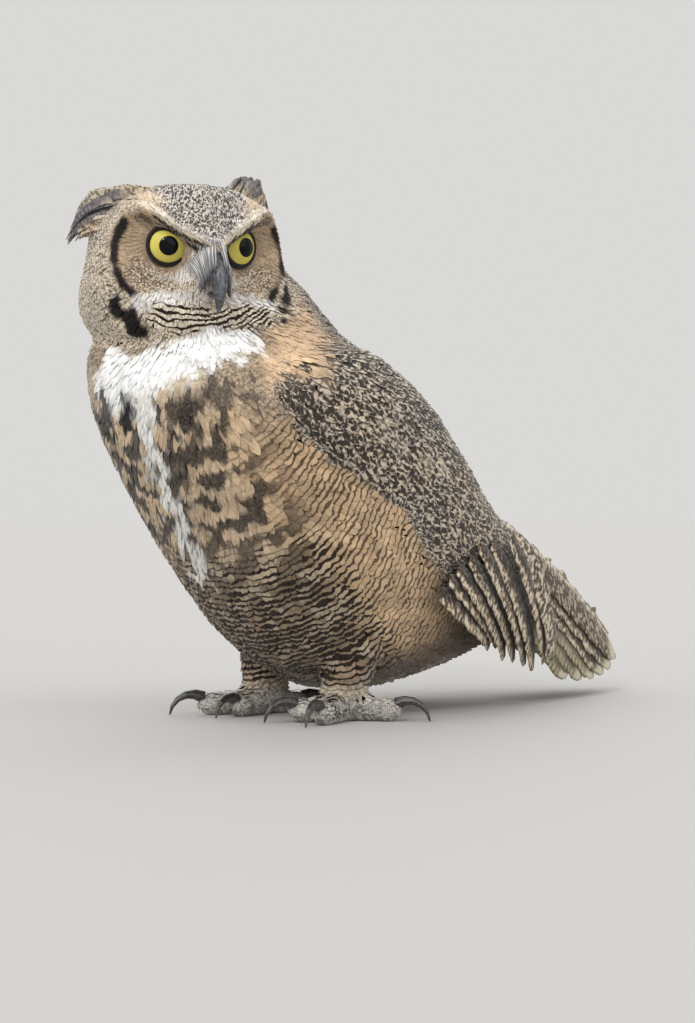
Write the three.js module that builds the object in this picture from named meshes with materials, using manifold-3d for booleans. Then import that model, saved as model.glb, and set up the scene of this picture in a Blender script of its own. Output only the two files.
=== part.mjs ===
// Great horned owl, life size, standing with its head turned to its left.
// Millimetres, +Z up. The body faces -Y, its left side is +X, and the soles are at Z = 0.
// Every solid shows the true outline of the plumage, out to the feather tips.
import * as THREE from "three";
import { mergeVertices } from "three/addons/utils/BufferGeometryUtils.js";
import Module from "manifold-3d";

const wasm = await Module();
wasm.setup();

// ---------------------------------------------------------------- driving dimensions
const GAP = 0.3; // clearance between touching pieces

// Head, in its own frame: x to the owl's right, y forward, z up, origin at its middle.
const HEAD = {
  centre: [-2, -96, 291],
  turnDeg: 68, // the face looks this far to the owl's left
  halfWidth: 58,
  jowl: 5.5, // how much wider the cheeks are than the temples
  front: 47,
  back: 60,
  up: 45,
  down: 60,
};
const EYE = { radius: 14, apart: 42, forward: 27, height: 5.5 };
const BROW = { inner: [2, 6], outer: [45, 34], height: 8, width: 8.5 };
const BILL = {
  upper: {
    path: [[44, -8], [57, -14], [64, -24], [63, -37]], // y, z from root to tip
    halfWidths: [7.5, 7.2, 5.6, 0.9],
    halfDepths: [9, 8.5, 7, 0.9],
  },
  lower: {
    path: [[42, -25], [51, -28], [58, -32]],
    halfWidths: [6.4, 5.4, 2.4],
    halfDepths: [5, 4.5, 1.5],
  },
};
// Ear tufts: x out, y, z along each plume. The left one is held higher than the right.
const TUFT = {
  path: [[30, 12, 30], [46, -4, 34], [58, -17, 29], [65, -31, 16]],
  leftRise: [7, 11, 13, 16],
  halfHeights: [10, 11, 9, 2],
};
const DISC_RADIUS = 39; // from the eye to the rim of the facial disc

// Neck and trunk: stations from the nape to the tail root, each a slanted section
// given by its front point, its back point (both y, z), its half width, and how far it
// leans to the owl's left: the neck twists as the head turns.
const STATIONS = [
  { front: [-126, 262], back: [-36, 300], halfWidth: 40, lean: -8 },
  { front: [-147, 231], back: [-5, 276], halfWidth: 62, lean: -10 },
  { front: [-149, 207], back: [9, 251], halfWidth: 74, lean: -3 },
  { front: [-139, 181], back: [46, 228], halfWidth: 87, lean: 0 },
  { front: [-121, 151], back: [81, 200], halfWidth: 90, lean: 0 },
  { front: [-96, 115], back: [104, 172], halfWidth: 90, lean: 0 },
  { front: [-67, 77], back: [130, 147], halfWidth: 85, lean: 0 },
  { front: [-34, 42], back: [160, 128], halfWidth: 76, lean: 0 },
  { front: [22, 17], back: [187, 113], halfWidth: 62, lean: 0 },
  { front: [90, 24], back: [212, 98], halfWidth: 48, lean: 0 },
  { front: [142, 38], back: [236, 84], halfWidth: 35, lean: 0 },
  { front: [184, 52], back: [254, 72], halfWidth: 20, lean: 0 },
];
const SQUARENESS = 2.2;
const NECK_END = 0.13; // share of the stations that belongs to the neck

// Folded wing: a shell on the trunk's side, from the wrist to the rump.
const WING = {
  thickness: 11,
  start: 0.13,
  end: 0.82,
  lowerDeg: [-4, -30, -27, -8, -8, -14, -18], // lower edge, from the wrist to the rump
  upperDeg: [24, 56, 72, 80, 83, 85, 86], // edge along the back
};
// Flight feathers of the folded wing: x is out from the middle plane. The outermost is
// given by its root and tip, the innermost by how far its own lie from those.
const PRIMARIES = {
  count: 7,
  root: [84, 44, 88],
  tip: [50, 178, 28],
  rootStep: [-6, 26, 30],
  tipStep: [0, 30, 18],
  width: 24,
  sag: 7,
  rollDeg: 62,
};
const TERTIALS = {
  count: 4,
  root: [68, 98, 124],
  tip: [38, 202, 50],
  rootStep: [-18, 12, 14],
  tipStep: [-20, 46, 24],
  width: 34,
  sag: 8,
  rollDeg: [52, 30],
};

// The tail is folded like a steep roof, its left half spread wider than its right.
const TAIL = {
  root: [0, 190, 136],
  tip: [0, 328, 36],
  left: { droopDeg: 64, spread: 12.2 }, // below level, and between neighbouring tips
  right: { droopDeg: 52, spread: 7 },
  width: 38,
  sag: 3,
};
const TAIL_COVERTS = {
  root: [0, 214, 86],
  tip: [0, 292, 48],
  halfWidth: [30, 12],
  halfDepth: [22, 3],
};
const VANE = 1.2; // thickness of a flight feather

const LEG = { x: 37, y: 6, hipY: 14, hipZ: 84, ankleZ: 15, hipRadius: 26, ankleRadius: 13 };
const TOES = [
  { digit: 2, aimDeg: -14, length: 40 },
  { digit: 3, aimDeg: 24, length: 47 },
  { digit: 4, aimDeg: 118, length: 38 },
  { digit: 1, aimDeg: -152, length: 28 },
];
const TOE = { root: 10, tip: 7.5 };
const CLAW = { bend: 14, base: 4.4, tip: 0.6, fromDeg: -32, toDeg: 84 };

// ---------------------------------------------------------------- materials
const finish = (color, roughness) =>
  new THREE.MeshStandardMaterial({ color, roughness, metalness: 0 });
const MATERIALS = {
  face: finish("#b79b78", 0.9),
  buff: finish("#b08a5c", 0.9),
  barred: finish("#a88c68", 0.9),
  mottled: finish("#6d6055", 0.9),
  tuft: finish("#5a5552", 0.9),
  down: finish("#cdbfa6", 0.95),
  iris: finish("#d9c53a", 0.15),
  horn: finish("#2b2b2e", 0.4),
};

// ---------------------------------------------------------------- helpers
const { degToRad, lerp, smoothstep } = THREE.MathUtils;
const vec = (x, y, z) => new THREE.Vector3(x, y, z);
const X = vec(1, 0, 0);
const SIDES = [["left", 1], ["right", -1]];
const signedPower = (v, p) => Math.sign(v) * Math.abs(v) ** p;
const bell = (distance, width) => Math.exp(-((distance / width) ** 2));

/** A smooth value along evenly spread numbers, t from 0 to 1. */
function profile(values) {
  const curve = new THREE.CatmullRomCurve3(values.map((v, i) => vec(v, i, 0)));
  return (t) => curve.getPoint(THREE.MathUtils.clamp(t, 0, 1)).x;
}

/** Turns a geometry's faces outwards if they point in. */
function facingOut(geometry) {
  const p = geometry.attributes.position;
  const index = geometry.index.array;
  let volume = 0;
  const [a, b, c] = [vec(), vec(), vec()];
  for (let i = 0; i < index.length; i += 3) {
    a.fromBufferAttribute(p, index[i]);
    b.fromBufferAttribute(p, index[i + 1]);
    c.fromBufferAttribute(p, index[i + 2]);
    volume += a.dot(b.cross(c));
  }
  if (volume < 0)
    for (let i = 0; i < index.length; i += 3)
      [index[i + 1], index[i + 2]] = [index[i + 2], index[i + 1]];
  return geometry;
}

/** A closed solid through rows of points, each row one closed loop of the same count. */
function loft(rows) {
  const sides = rows[0].length;
  const positions = rows.flat().flatMap((p) => p.toArray());
  const index = [];
  for (let r = 0; r + 1 < rows.length; r++)
    for (let k = 0; k < sides; k++) {
      const [a, b] = [r * sides + k, r * sides + ((k + 1) % sides)];
      index.push(a, b, b + sides, a, b + sides, a + sides);
    }
  const close = (row, start, flip) => {
    const middle = positions.length / 3;
    positions.push(...row.reduce((sum, p) => sum.add(p), vec(0, 0, 0)).divideScalar(sides));
    for (let k = 0; k < sides; k++) {
      const [a, b] = [start + k, start + ((k + 1) % sides)];
      index.push(...(flip ? [middle, b, a] : [middle, a, b]));
    }
  };
  close(rows[0], 0, true);
  close(rows.at(-1), (rows.length - 1) * sides, false);
  const geometry = new THREE.BufferGeometry();
  geometry.setAttribute("position", new THREE.Float32BufferAttribute(positions, 3));
  return facingOut(geometry.setIndex(index));
}

/** A point of a ring at an angle, moved outwards by a distance. */
function ringPoint({ centre, across, through, power = 2 }, angle, out = 0) {
  const c = signedPower(Math.cos(angle), 2 / power);
  const s = signedPower(Math.sin(angle), 2 / power);
  const outward = across.clone().multiplyScalar(Math.cos(angle) / across.lengthSq());
  outward.addScaledVector(through, Math.sin(angle) / through.lengthSq()).normalize();
  const p = centre.clone().addScaledVector(across, c).addScaledVector(through, s);
  return p.addScaledVector(outward, out);
}

/** A closed solid through rings, each with a centre and half-axes across and through. */
function sweep(rings, sides) {
  const angles = Array.from({ length: sides }, (_, k) => (2 * Math.PI * k) / sides);
  return loft(rings.map((ring) => angles.map((angle) => ringPoint(ring, angle))));
}

/** A tapering limb of round section along a curve; radius is a function of t. */
function limb(curve, radius, { rings, sides, grow = 0 }) {
  const chord = curve.getPoint(1).sub(curve.getPoint(0)).normalize();
  const reference = Math.abs(chord.z) > 0.7 ? vec(0, 1, 0) : vec(0, 0, 1);
  const made = [];
  for (let i = 0; i <= rings; i++) {
    const t = i / rings;
    const along = curve.getTangent(t);
    const side = reference.clone().cross(along).normalize();
    const lift = along.clone().cross(side).normalize();
    const r = radius(t) + grow;
    made.push({
      centre: curve.getPoint(t).addScaledVector(along, i ? (i === rings ? grow : 0) : -grow),
      across: side.multiplyScalar(r),
      through: lift.multiplyScalar(r),
    });
  }
  return sweep(made, sides);
}

/**
 * A flight feather: a flat vane from root to tip, arched by sag, rolled about its
 * shaft, narrowed at both ends. It lies under as many feathers as it is told.
 */
function blade({ root, tip, width, rollDeg, sag, under, grow }) {
  const along = tip.clone().sub(root).normalize();
  const level = vec(0, 0, 1).cross(along).normalize();
  const side = level.applyAxisAngle(along, degToRad(rollDeg));
  const face = along.clone().cross(side).normalize();
  const breadth = [0.45, 1, 1, 0.5];
  const rows = [0, 0.45, 0.86, 1].map((t, k) => {
    const half = (width / 2) * breadth[k] + grow;
    const lift = 4 * sag * t * (1 - t) - 0.8 * VANE * under;
    const centre = root.clone().lerp(tip, t).addScaledVector(face, lift);
    const [w, h] = [side.clone().multiplyScalar(half), face.clone().setLength(VANE / 2 + grow)];
    return [[1, 1], [-1, 1], [-1, -1], [1, -1]].map(([i, j]) =>
      centre.clone().addScaledVector(w, i).addScaledVector(h, j),
    );
  });
  return loft(rows);
}

/** The solid of a geometry placed by a matrix. */
function solidOf(geometry, matrix) {
  const placed = geometry.clone().applyMatrix4(matrix);
  placed.deleteAttribute("normal");
  placed.deleteAttribute("uv");
  const merged = mergeVertices(placed, 1e-4);
  return new wasm.Manifold(
    new wasm.Mesh({
      numProp: 3,
      vertProperties: merged.attributes.position.array,
      triVerts: new Uint32Array(merged.index.array),
    }),
  );
}

/** A solid back as a geometry, in the frame of the mesh that has this matrix. */
function geometryOf(solid, matrix) {
  const { vertProperties, triVerts } = solid.getMesh();
  const geometry = new THREE.BufferGeometry();
  geometry.setAttribute("position", new THREE.BufferAttribute(vertProperties, 3));
  geometry.setIndex(new THREE.BufferAttribute(triVerts, 1));
  return geometry.applyMatrix4(matrix.clone().invert());
}

// ---------------------------------------------------------------- neck, trunk and wings
const edgeOf = (edge) =>
  new THREE.CatmullRomCurve3(STATIONS.map((s) => vec(s.lean, s[edge][0], s[edge][1])));
const [frontOf, backOf] = [edgeOf("front"), edgeOf("back")];
const halfWidthOf = profile(STATIONS.map((s) => s.halfWidth));

/** One slanted section of the body at t, from 0 at the nape to 1 at the tail root. */
function bodyRing(t, grow = 0, shift = 0) {
  const [front, back] = [frontOf.getPoint(t), backOf.getPoint(t)];
  const along = frontOf.getTangent(t).add(backOf.getTangent(t)).normalize();
  const half = back.clone().sub(front).multiplyScalar(0.5);
  return {
    centre: front.clone().add(half).addScaledVector(along, shift),
    across: X.clone().multiplyScalar(halfWidthOf(t) + grow),
    through: half.clone().setLength(half.length() + grow),
    power: SQUARENESS,
  };
}

/** The body between two shares of its length. */
function bodyPart(from, to, rings, grow = 0, shifts = [0, 0]) {
  const made = [];
  for (let i = 0; i <= rings; i++) {
    const end = i === 0 ? shifts[0] - grow : i === rings ? shifts[1] + grow : 0;
    made.push(bodyRing(lerp(from, to, i / rings), grow, end));
  }
  return sweep(made, 22);
}

/** A folded wing, its rim tucked into the trunk; side is 1 for the left, -1 for the right. */
function wingGeometry(side, grow) {
  const [rings, steps] = [11, 6];
  const [lower, upper] = [profile(WING.lowerDeg), profile(WING.upperDeg)];
  const rows = [];
  for (let i = 0; i <= rings; i++) {
    const u = i / rings;
    const ring = bodyRing(lerp(WING.start, WING.end, u));
    const lengthwise = Math.min(smoothstep(u, 0, 0.16), 1.35 - u * 0.7);
    const outer = [];
    const inner = [];
    for (let j = 0; j <= steps; j++) {
      const v = j / steps;
      const degrees = lerp(lower(u), upper(u), v);
      const angle = degToRad(side > 0 ? degrees : 180 - degrees);
      const crosswise = (1 - (1 - v) ** 5) * (1 - v ** 4);
      outer.push(ringPoint(ring, angle, lerp(-3, WING.thickness, lengthwise * crosswise) + grow));
      inner.unshift(ringPoint(ring, angle, -8 - grow));
    }
    rows.push([...outer, ...inner]);
  }
  return loft(rows);
}

/** Feathers fanned from an outermost to an innermost one, as a list of geometries. */
function fan(side, feathers, shape) {
  const { count, width, sag } = feathers;
  const place = (start, step, u) => {
    const [x, y, z] = start.map((v, k) => v + u * step[k]);
    return vec(side * x, y, z);
  };
  return Array.from({ length: count }, (_, i) => {
    const u = i / (count - 1);
    const root = place(feathers.root, feathers.rootStep, u);
    const tip = place(feathers.tip, feathers.tipStep, u);
    return blade({ root, tip, width, sag, ...shape(u, i) });
  });
}

/** The long feathers of the folded wing: primaries low on the flank, tertials above. */
function flightFeathers(side, grow) {
  const primaries = fan(side, PRIMARIES, (u, i) => {
    return { rollDeg: side * PRIMARIES.rollDeg, under: -i, grow };
  });
  const tertials = fan(side, TERTIALS, (u) => {
    return { rollDeg: side * lerp(...TERTIALS.rollDeg, u), under: 0, grow };
  });
  return [...primaries, ...tertials];
}

// ---------------------------------------------------------------- tail
/** Twelve tail feathers, stepped out and under from the middle pair down each slope. */
function tailFeathers(grow) {
  const [root, tip] = [vec(...TAIL.root), vec(...TAIL.tip)];
  const along = tip.clone().sub(root).normalize();
  const down = along.clone().cross(X);
  const made = [];
  for (const [word, side] of SIDES)
    for (let i = 0; i < 6; i++) {
      const { droopDeg, spread } = TAIL[word];
      const out = X.clone().multiplyScalar(side * Math.cos(degToRad(droopDeg)));
      out.addScaledVector(down, Math.sin(degToRad(droopDeg)));
      const from = root.clone().addScaledVector(out, 8 + 3 * i).addScaledVector(along, -4 * i);
      const to = tip.clone().addScaledVector(out, TAIL.width / 2 - 4 + spread * i);
      to.addScaledVector(along, -5 * i - 1.6 * i * i);
      const { width, sag } = TAIL;
      const rollDeg = side * droopDeg;
      made.push(blade({ root: from, tip: to, width, sag, rollDeg, under: i, grow }));
    }
  return made;
}

/** The coverts that wrap the tail's root. */
function tailCoverts(grow) {
  const [root, tip] = [vec(...TAIL_COVERTS.root), vec(...TAIL_COVERTS.tip)];
  const along = tip.clone().sub(root).normalize();
  const made = [0, 0.35, 0.7, 1].map((t) => ({
    centre: root.clone().lerp(tip, t),
    across: X.clone().multiplyScalar(lerp(...TAIL_COVERTS.halfWidth, t) + grow),
    through: along.clone().cross(X).multiplyScalar(lerp(...TAIL_COVERTS.halfDepth, t) + grow),
  }));
  return sweep(made, 16);
}

// ---------------------------------------------------------------- head
const eyeAt = (side) => vec((-side * EYE.apart) / 2, EYE.forward, EYE.height);

/** The shortest distance from (x, z) to the brow ridge on that side. */
function toBrow(x, z) {
  const [x0, z0] = BROW.inner;
  const [x1, z1] = BROW.outer;
  const [dx, dz] = [x1 - x0, z1 - z0];
  const px = Math.abs(x);
  const u = THREE.MathUtils.clamp(((px - x0) * dx + (z - z0) * dz) / (dx * dx + dz * dz), 0, 1);
  return Math.hypot(px - x0 - u * dx, z - z0 - u * dz);
}

/** How far forward the face stands at (x, z): two shallow dishes, brows, bill ridge, chin. */
function faceDepth(x, z) {
  const wedge = 49 - 0.4 * Math.hypot(x, 6);
  const toEye = Math.hypot(Math.abs(x) - EYE.apart / 2, z - EYE.height);
  const socket = -4 * bell(toEye, 15);
  const brow = BROW.height * bell(toBrow(x, z), BROW.width);
  const billRidge = 10 * bell(x, 9) * bell(z + 5, 19);
  const rim = 3.5 * bell(toEye - DISC_RADIUS, 6) * (1 - smoothstep(z, 14, 30));
  const gape = -3 * bell(x, 11) * bell(z + 32, 9);
  const chin = 6 * bell(x, 30) * bell(z + 45, 11);
  const crownSlope = -0.5 * Math.max(0, z - 22);
  return wedge + socket + brow + billRidge + rim + gape + chin + crownSlope;
}

/** The head's surface: a squared ellipsoid with the face pressed into its front. */
function headGeometry(grow) {
  const geometry = new THREE.SphereGeometry(1, 30, 21).rotateX(Math.PI / 2);
  const p = geometry.attributes.position;
  const d = vec();
  for (let i = 0; i < p.count; i++) {
    d.fromBufferAttribute(p, i).normalize();
    const power = lerp(2.5, 3.3, smoothstep(-d.z, 0, 0.5));
    const up = d.z > 0 ? HEAD.up : HEAD.down;
    const front = d.y > 0 ? HEAD.front : HEAD.back;
    const width = HEAD.halfWidth + HEAD.jowl * smoothstep(-d.z, -0.1, 0.4);
    const sum =
      Math.abs(d.x / width) ** power + Math.abs(d.y / front) ** power + Math.abs(d.z / up) ** power;
    d.multiplyScalar(sum ** (-1 / power));
    const facing = smoothstep(d.y, 6, 30);
    d.y = lerp(d.y, faceDepth(d.x, d.z), facing);
    d.addScaledVector(d.clone().normalize(), grow);
    p.setXYZ(i, d.x, d.y, d.z);
  }
  return geometry;
}

/** An ear tuft: a flat plume from the brow's outer end, out and back. */
function tuftGeometry(side, grow) {
  const rise = (i) => (side > 0 ? TUFT.leftRise[i] : 0);
  const points = TUFT.path.map(([x, y, z], i) => vec(-side * x, y, z + rise(i)));
  const curve = new THREE.CatmullRomCurve3(points);
  const tall = profile(TUFT.halfHeights);
  const rings = [];
  for (let i = 0; i <= 6; i++) {
    const t = i / 6;
    const along = curve.getTangent(t);
    const flat = along.clone().cross(vec(0, 0, 1)).normalize();
    const lift = flat.clone().cross(along).normalize();
    rings.push({
      centre: curve.getPoint(t),
      across: flat.multiplyScalar(lerp(7, 2, t) + grow),
      through: lift.multiplyScalar(tall(t) + grow),
    });
  }
  return sweep(rings, 8);
}

/** A half of the bill: a hooked taper in the head's middle plane. */
function mandible({ path, halfWidths, halfDepths }, grow) {
  const curve = new THREE.CatmullRomCurve3(path.map(([y, z]) => vec(0, y, z)));
  const [wide, deep] = [profile(halfWidths), profile(halfDepths)];
  const rings = [];
  for (let i = 0; i <= 6; i++) {
    const t = i / 6;
    rings.push({
      centre: curve.getPoint(t),
      across: X.clone().multiplyScalar(wide(t) + grow),
      through: curve.getTangent(t).cross(X).multiplyScalar(deep(t) + grow),
    });
  }
  return sweep(rings, 10);
}

// ---------------------------------------------------------------- legs and feet
/** A feathered leg, from inside the belly down to the foot's pad. */
function legGeometry(side, grow) {
  const curve = new THREE.CatmullRomCurve3([
    vec(side * (LEG.x - 3), LEG.hipY, LEG.hipZ),
    vec(side * LEG.x, LEG.hipY - 2, 50),
    vec(side * LEG.x, LEG.y, 28),
    vec(side * LEG.x, LEG.y, LEG.ankleZ - 11),
  ]);
  const radius = profile([LEG.hipRadius, 23, 17, LEG.ankleRadius]);
  return limb(curve, radius, { rings: 5, sides: 10, grow });
}

/** The direction in which a toe points, in plan; inward for a negative aim. */
function toeAim(side, aimDeg) {
  const a = degToRad(aimDeg);
  return vec(side * Math.sin(a), -Math.cos(a), 0);
}

/** A toe from the ankle out, in the foot's own frame. */
function toeGeometry(side, { aimDeg, length }, grow) {
  const aim = toeAim(side, aimDeg);
  const curve = new THREE.CatmullRomCurve3([
    aim.clone().multiplyScalar(4).setZ(8.8),
    aim.clone().multiplyScalar(length * 0.5).setZ(7.8),
    aim.clone().multiplyScalar(length).setZ(6.3),
  ]);
  const knuckles = (t) => lerp(TOE.root, TOE.tip, t) + 0.7 * Math.cos(t * 5 * Math.PI);
  const radius = (t) => knuckles(t) * Math.sqrt(1 - 0.55 * smoothstep(t, 0.8, 1));
  return limb(curve, radius, { rings: 5, sides: 7, grow });
}

/** A hooked claw at a toe's end, in the foot's own frame. */
function clawGeometry(side, { aimDeg, length }, grow) {
  const aim = toeAim(side, aimDeg);
  const scale = 0.85 + length / 220;
  const bend = CLAW.bend * scale;
  const [from, to] = [degToRad(CLAW.fromDeg), degToRad(CLAW.toDeg)];
  const low = 0.7 - bend * Math.cos(to);
  const points = Array.from({ length: 7 }, (_, i) => {
    const angle = lerp(from, to, i / 6);
    const out = length - 3 + bend * (Math.sin(angle) - Math.sin(from));
    return aim.clone().multiplyScalar(out).setZ(low + bend * Math.cos(angle));
  });
  const curve = new THREE.CatmullRomCurve3(points);
  const radius = (t) => lerp(CLAW.base * scale, CLAW.tip, t ** 0.8);
  return limb(curve, radius, { rings: 5, sides: 6, grow });
}

// ---------------------------------------------------------------- assembly
const owl = new THREE.Group();
const headGroup = new THREE.Group();
headGroup.position.set(...HEAD.centre);
headGroup.rotation.z = degToRad(HEAD.turnDeg - 180);
owl.add(headGroup);

const pieces = new Map(); // name: { mesh, shapes(grow), yieldsTo }

/** Adds a node. shapes(grow) gives its geometries; yieldsTo names what cuts it back. */
function add(name, parent, material, shapes, yieldsTo = []) {
  const mesh = new THREE.Mesh(new THREE.BufferGeometry(), material);
  mesh.name = name;
  parent.add(mesh);
  pieces.set(name, { mesh, shapes, yieldsTo });
  return mesh;
}

for (const [word, side] of SIDES) {
  const eye = (grow) => [new THREE.SphereGeometry(EYE.radius + grow, 16, 10)];
  const mesh = add(`eye_${word}`, headGroup, MATERIALS.iris, eye);
  mesh.position.copy(eyeAt(side));
}
const mandibleShape = (which) => (grow) => [mandible(BILL[which], grow)];
add("bill_upper", headGroup, MATERIALS.horn, mandibleShape("upper"));
add("bill_lower", headGroup, MATERIALS.horn, mandibleShape("lower"), ["bill_upper"]);
for (const [word, side] of SIDES)
  add(`ear_tuft_${word}`, headGroup, MATERIALS.tuft, (grow) => [tuftGeometry(side, grow)]);
add("head", headGroup, MATERIALS.face, (grow) => [headGeometry(grow)], [
  "eye_left",
  "eye_right",
  "bill_upper",
  "bill_lower",
  "ear_tuft_left",
  "ear_tuft_right",
]);

add(
  "neck",
  owl,
  MATERIALS.buff,
  (grow) => [bodyPart(0, NECK_END, 3, grow, [0, -GAP / 2])],
  ["head"],
);
add(
  "trunk",
  owl,
  MATERIALS.barred,
  (grow) => [bodyPart(NECK_END, 1, 15, grow, [GAP / 2, 0])],
  ["head"],
);
for (const [word, side] of SIDES) {
  const wing = (grow) => [wingGeometry(side, grow), ...flightFeathers(side, grow)];
  add(`wing_${word}`, owl, MATERIALS.mottled, wing, ["trunk", "neck", "head", "tail"]);
}
const tail = (grow) => [...tailFeathers(grow), tailCoverts(grow)];
add("tail", owl, MATERIALS.mottled, tail, ["trunk"]);

for (const [word, side] of SIDES) {
  const foot = new THREE.Group();
  foot.position.set(side * LEG.x, LEG.y, 0);
  owl.add(foot);
  const toes = (grow) => TOES.map((toe) => toeGeometry(side, toe, grow));
  add(`leg_${word}`, owl, MATERIALS.down, (grow) => [legGeometry(side, grow)], ["trunk"]);
  add(`foot_${word}`, foot, MATERIALS.down, toes, [`leg_${word}`]);
  for (const toe of TOES) {
    const claw = (grow) => [clawGeometry(side, toe, grow)];
    add(`claw_${word}_${toe.digit}`, foot, MATERIALS.horn, claw, [`foot_${word}`]);
  }
}

// ---------------------------------------------------------------- joins and cuts
owl.updateMatrixWorld(true);

/** All of a node's shapes as one solid in the owl's frame. */
function wholeOf(name, grow) {
  const { mesh, shapes } = pieces.get(name);
  const solids = shapes(grow).map((g) => solidOf(g, mesh.matrixWorld));
  return solids.reduce((sum, next) => sum.add(next));
}

/** The largest body of a solid: a cut can leave slivers, which are dropped. */
function largest(solid) {
  const bodies = solid.decompose();
  return bodies.reduce((best, body) => (body.volume() > best.volume() ? body : best));
}

// What would hang under the floor is cut off level with it.
const ground = new THREE.BoxGeometry(900, 900, 60).translate(0, 100, -30);
const underground = solidOf(ground, new THREE.Matrix4());

for (const [name, piece] of pieces) {
  const standing = wholeOf(name, 0).subtract(underground);
  const cut = piece.yieldsTo.reduce((s, other) => s.subtract(wholeOf(other, GAP)), standing);
  piece.mesh.geometry = geometryOf(largest(cut), piece.mesh.matrixWorld);
  piece.mesh.geometry.computeVertexNormals();
}

// The origin is under the middle of the whole bird, at floor level.
const bounds = new THREE.Box3().setFromObject(owl, true);
const middle = bounds.getCenter(vec());
owl.position.set(-middle.x, -middle.y, -bounds.min.z);

export default owl;
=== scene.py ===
"""A great horned owl, life size, as a still display model: skin, plumage, eyes, bill and claws.

Shapes are worked out in millimetres in the frame's axes and become metres when a mesh is made.
The bird is laid out as a body plan (stations from the nape to the tail), a head in a frame of
its own, and tracts of plumage that each have their own size of feather.
"""

import logging
import math
from dataclasses import dataclass, replace
from enum import Enum
from typing import Optional, Sequence

import bpy
import numpy as np
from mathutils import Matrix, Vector
from mathutils.bvhtree import BVHTree


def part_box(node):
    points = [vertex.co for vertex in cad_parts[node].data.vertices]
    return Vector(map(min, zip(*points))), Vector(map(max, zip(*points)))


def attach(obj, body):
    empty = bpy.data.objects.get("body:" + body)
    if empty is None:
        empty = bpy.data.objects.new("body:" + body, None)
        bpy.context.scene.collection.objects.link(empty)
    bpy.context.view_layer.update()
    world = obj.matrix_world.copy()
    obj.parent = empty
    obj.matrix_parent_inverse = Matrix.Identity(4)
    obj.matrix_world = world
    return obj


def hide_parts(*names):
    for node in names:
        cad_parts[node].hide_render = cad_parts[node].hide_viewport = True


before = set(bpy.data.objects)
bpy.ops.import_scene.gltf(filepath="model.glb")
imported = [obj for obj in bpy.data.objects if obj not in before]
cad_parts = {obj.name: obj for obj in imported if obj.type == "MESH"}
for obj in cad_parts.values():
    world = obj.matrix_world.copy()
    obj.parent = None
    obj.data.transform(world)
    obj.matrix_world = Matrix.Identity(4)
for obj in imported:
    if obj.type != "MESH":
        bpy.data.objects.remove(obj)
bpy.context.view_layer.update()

Array = np.ndarray
Piece = bpy.types.Object
Material = bpy.types.Material
Node = bpy.types.Node
Socket = bpy.types.NodeSocket
MM = 0.001
SEED = 20
UP = np.array([0.0, 0.0, 1.0])
log = logging.getLogger("owl")


# ---------------------------------------------------------------- small mathematics
def smooth(x: Array, low: float, high: float) -> Array:
    """Eases from 0 at low to 1 at high."""
    u = np.clip((x - low) / (high - low), 0.0, 1.0)
    return u * u * (3.0 - 2.0 * u)


def bell(distance: Array, width: float) -> Array:
    """A bump that is 1 at no distance and about a third at the width."""
    return np.exp(-((distance / width) ** 2))


def unit(v: Array) -> Array:
    """Vectors scaled to length 1."""
    return v / np.maximum(np.linalg.norm(v, axis=-1, keepdims=True), 1e-9)


def mix(a: Array, b: Array, share: Array) -> Array:
    """Blends a towards b; share has one value for each row."""
    share = np.clip(np.asarray(share), 0.0, 1.0)
    return a + (b - a) * share[..., None]


def linear(hex_colour: str) -> Array:
    """Turns an sRGB hex colour into linear red, green and blue."""
    value = np.array([int(hex_colour[i : i + 2], 16) for i in (1, 3, 5)]) / 255.0
    return np.where(value <= 0.04045, value / 12.92, ((value + 0.055) / 1.055) ** 2.4)


def columns(*values: Array) -> Array:
    """Lists of numbers side by side, one row for each place."""
    return np.stack(values, axis=1)


def turns(count: int) -> Array:
    """Angles spread evenly round a full turn."""
    return np.linspace(0, 2 * math.pi, count, endpoint=False)


def catmull_rom(rows: Array, t: Array) -> Array:
    """A smooth curve through rows of values.

    Args:
        rows: one row of values for each evenly spread knot.
        t: where to read the curve, from 0 to 1.

    Returns:
        One row of values for each t.
    """
    last = len(rows) - 1
    x = np.clip(t, 0.0, 1.0) * last
    i = np.minimum(x.astype(int), last - 1)
    u = (x - i)[:, None]
    padded = np.vstack([2 * rows[0] - rows[1], rows, 2 * rows[-1] - rows[-2]])
    a, b, c, d = padded[i], padded[i + 1], padded[i + 2], padded[i + 3]
    cubic = -a + 3 * b - 3 * c + d
    return 0.5 * (2 * b + (c - a) * u + (2 * a - 5 * b + 4 * c - d) * u**2 + cubic * u**3)


def wobble(points: Array, size: float, seed: int) -> Array:
    """Smooth noise between about -1 and 1.

    Args:
        points: where to read it.
        size: the size of its lumps, in millimetres.
        seed: picks one such noise.

    Returns:
        The noise at each point.
    """
    rng = np.random.default_rng(seed)
    waves = unit(rng.normal(size=(9, 3))) * rng.uniform(0.6, 1.5, (9, 1)) * math.pi / size
    return np.sin(points @ waves.T + rng.uniform(0, 2 * math.pi, 9)).sum(axis=1) / 3.0


def to_segments(points: Array, path: Array) -> Array:
    """The shortest distance from each point to a path of straight pieces.

    Args:
        points: the points.
        path: the path's own points, in order.

    Returns:
        The distance of each point.
    """
    best = np.full(len(points), np.inf)
    for start, end in zip(path[:-1], path[1:]):
        step = end - start
        u = np.clip((points - start) @ step / (step @ step), 0.0, 1.0)
        best = np.minimum(best, np.linalg.norm(points - start - u[:, None] * step, axis=1))
    return best


def centre_of(node: str) -> Array:
    """The middle of a node's box, in millimetres."""
    low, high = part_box(node)
    return np.array((low + high) / 2) / MM


# ---------------------------------------------------------------- the body's plan
@dataclass(frozen=True)
class Station:
    """One slanted section of the body, by the (y, z) of its front and back."""

    front: tuple[float, float]
    back: tuple[float, float]
    half_width: float
    lean: float = 0.0


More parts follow.
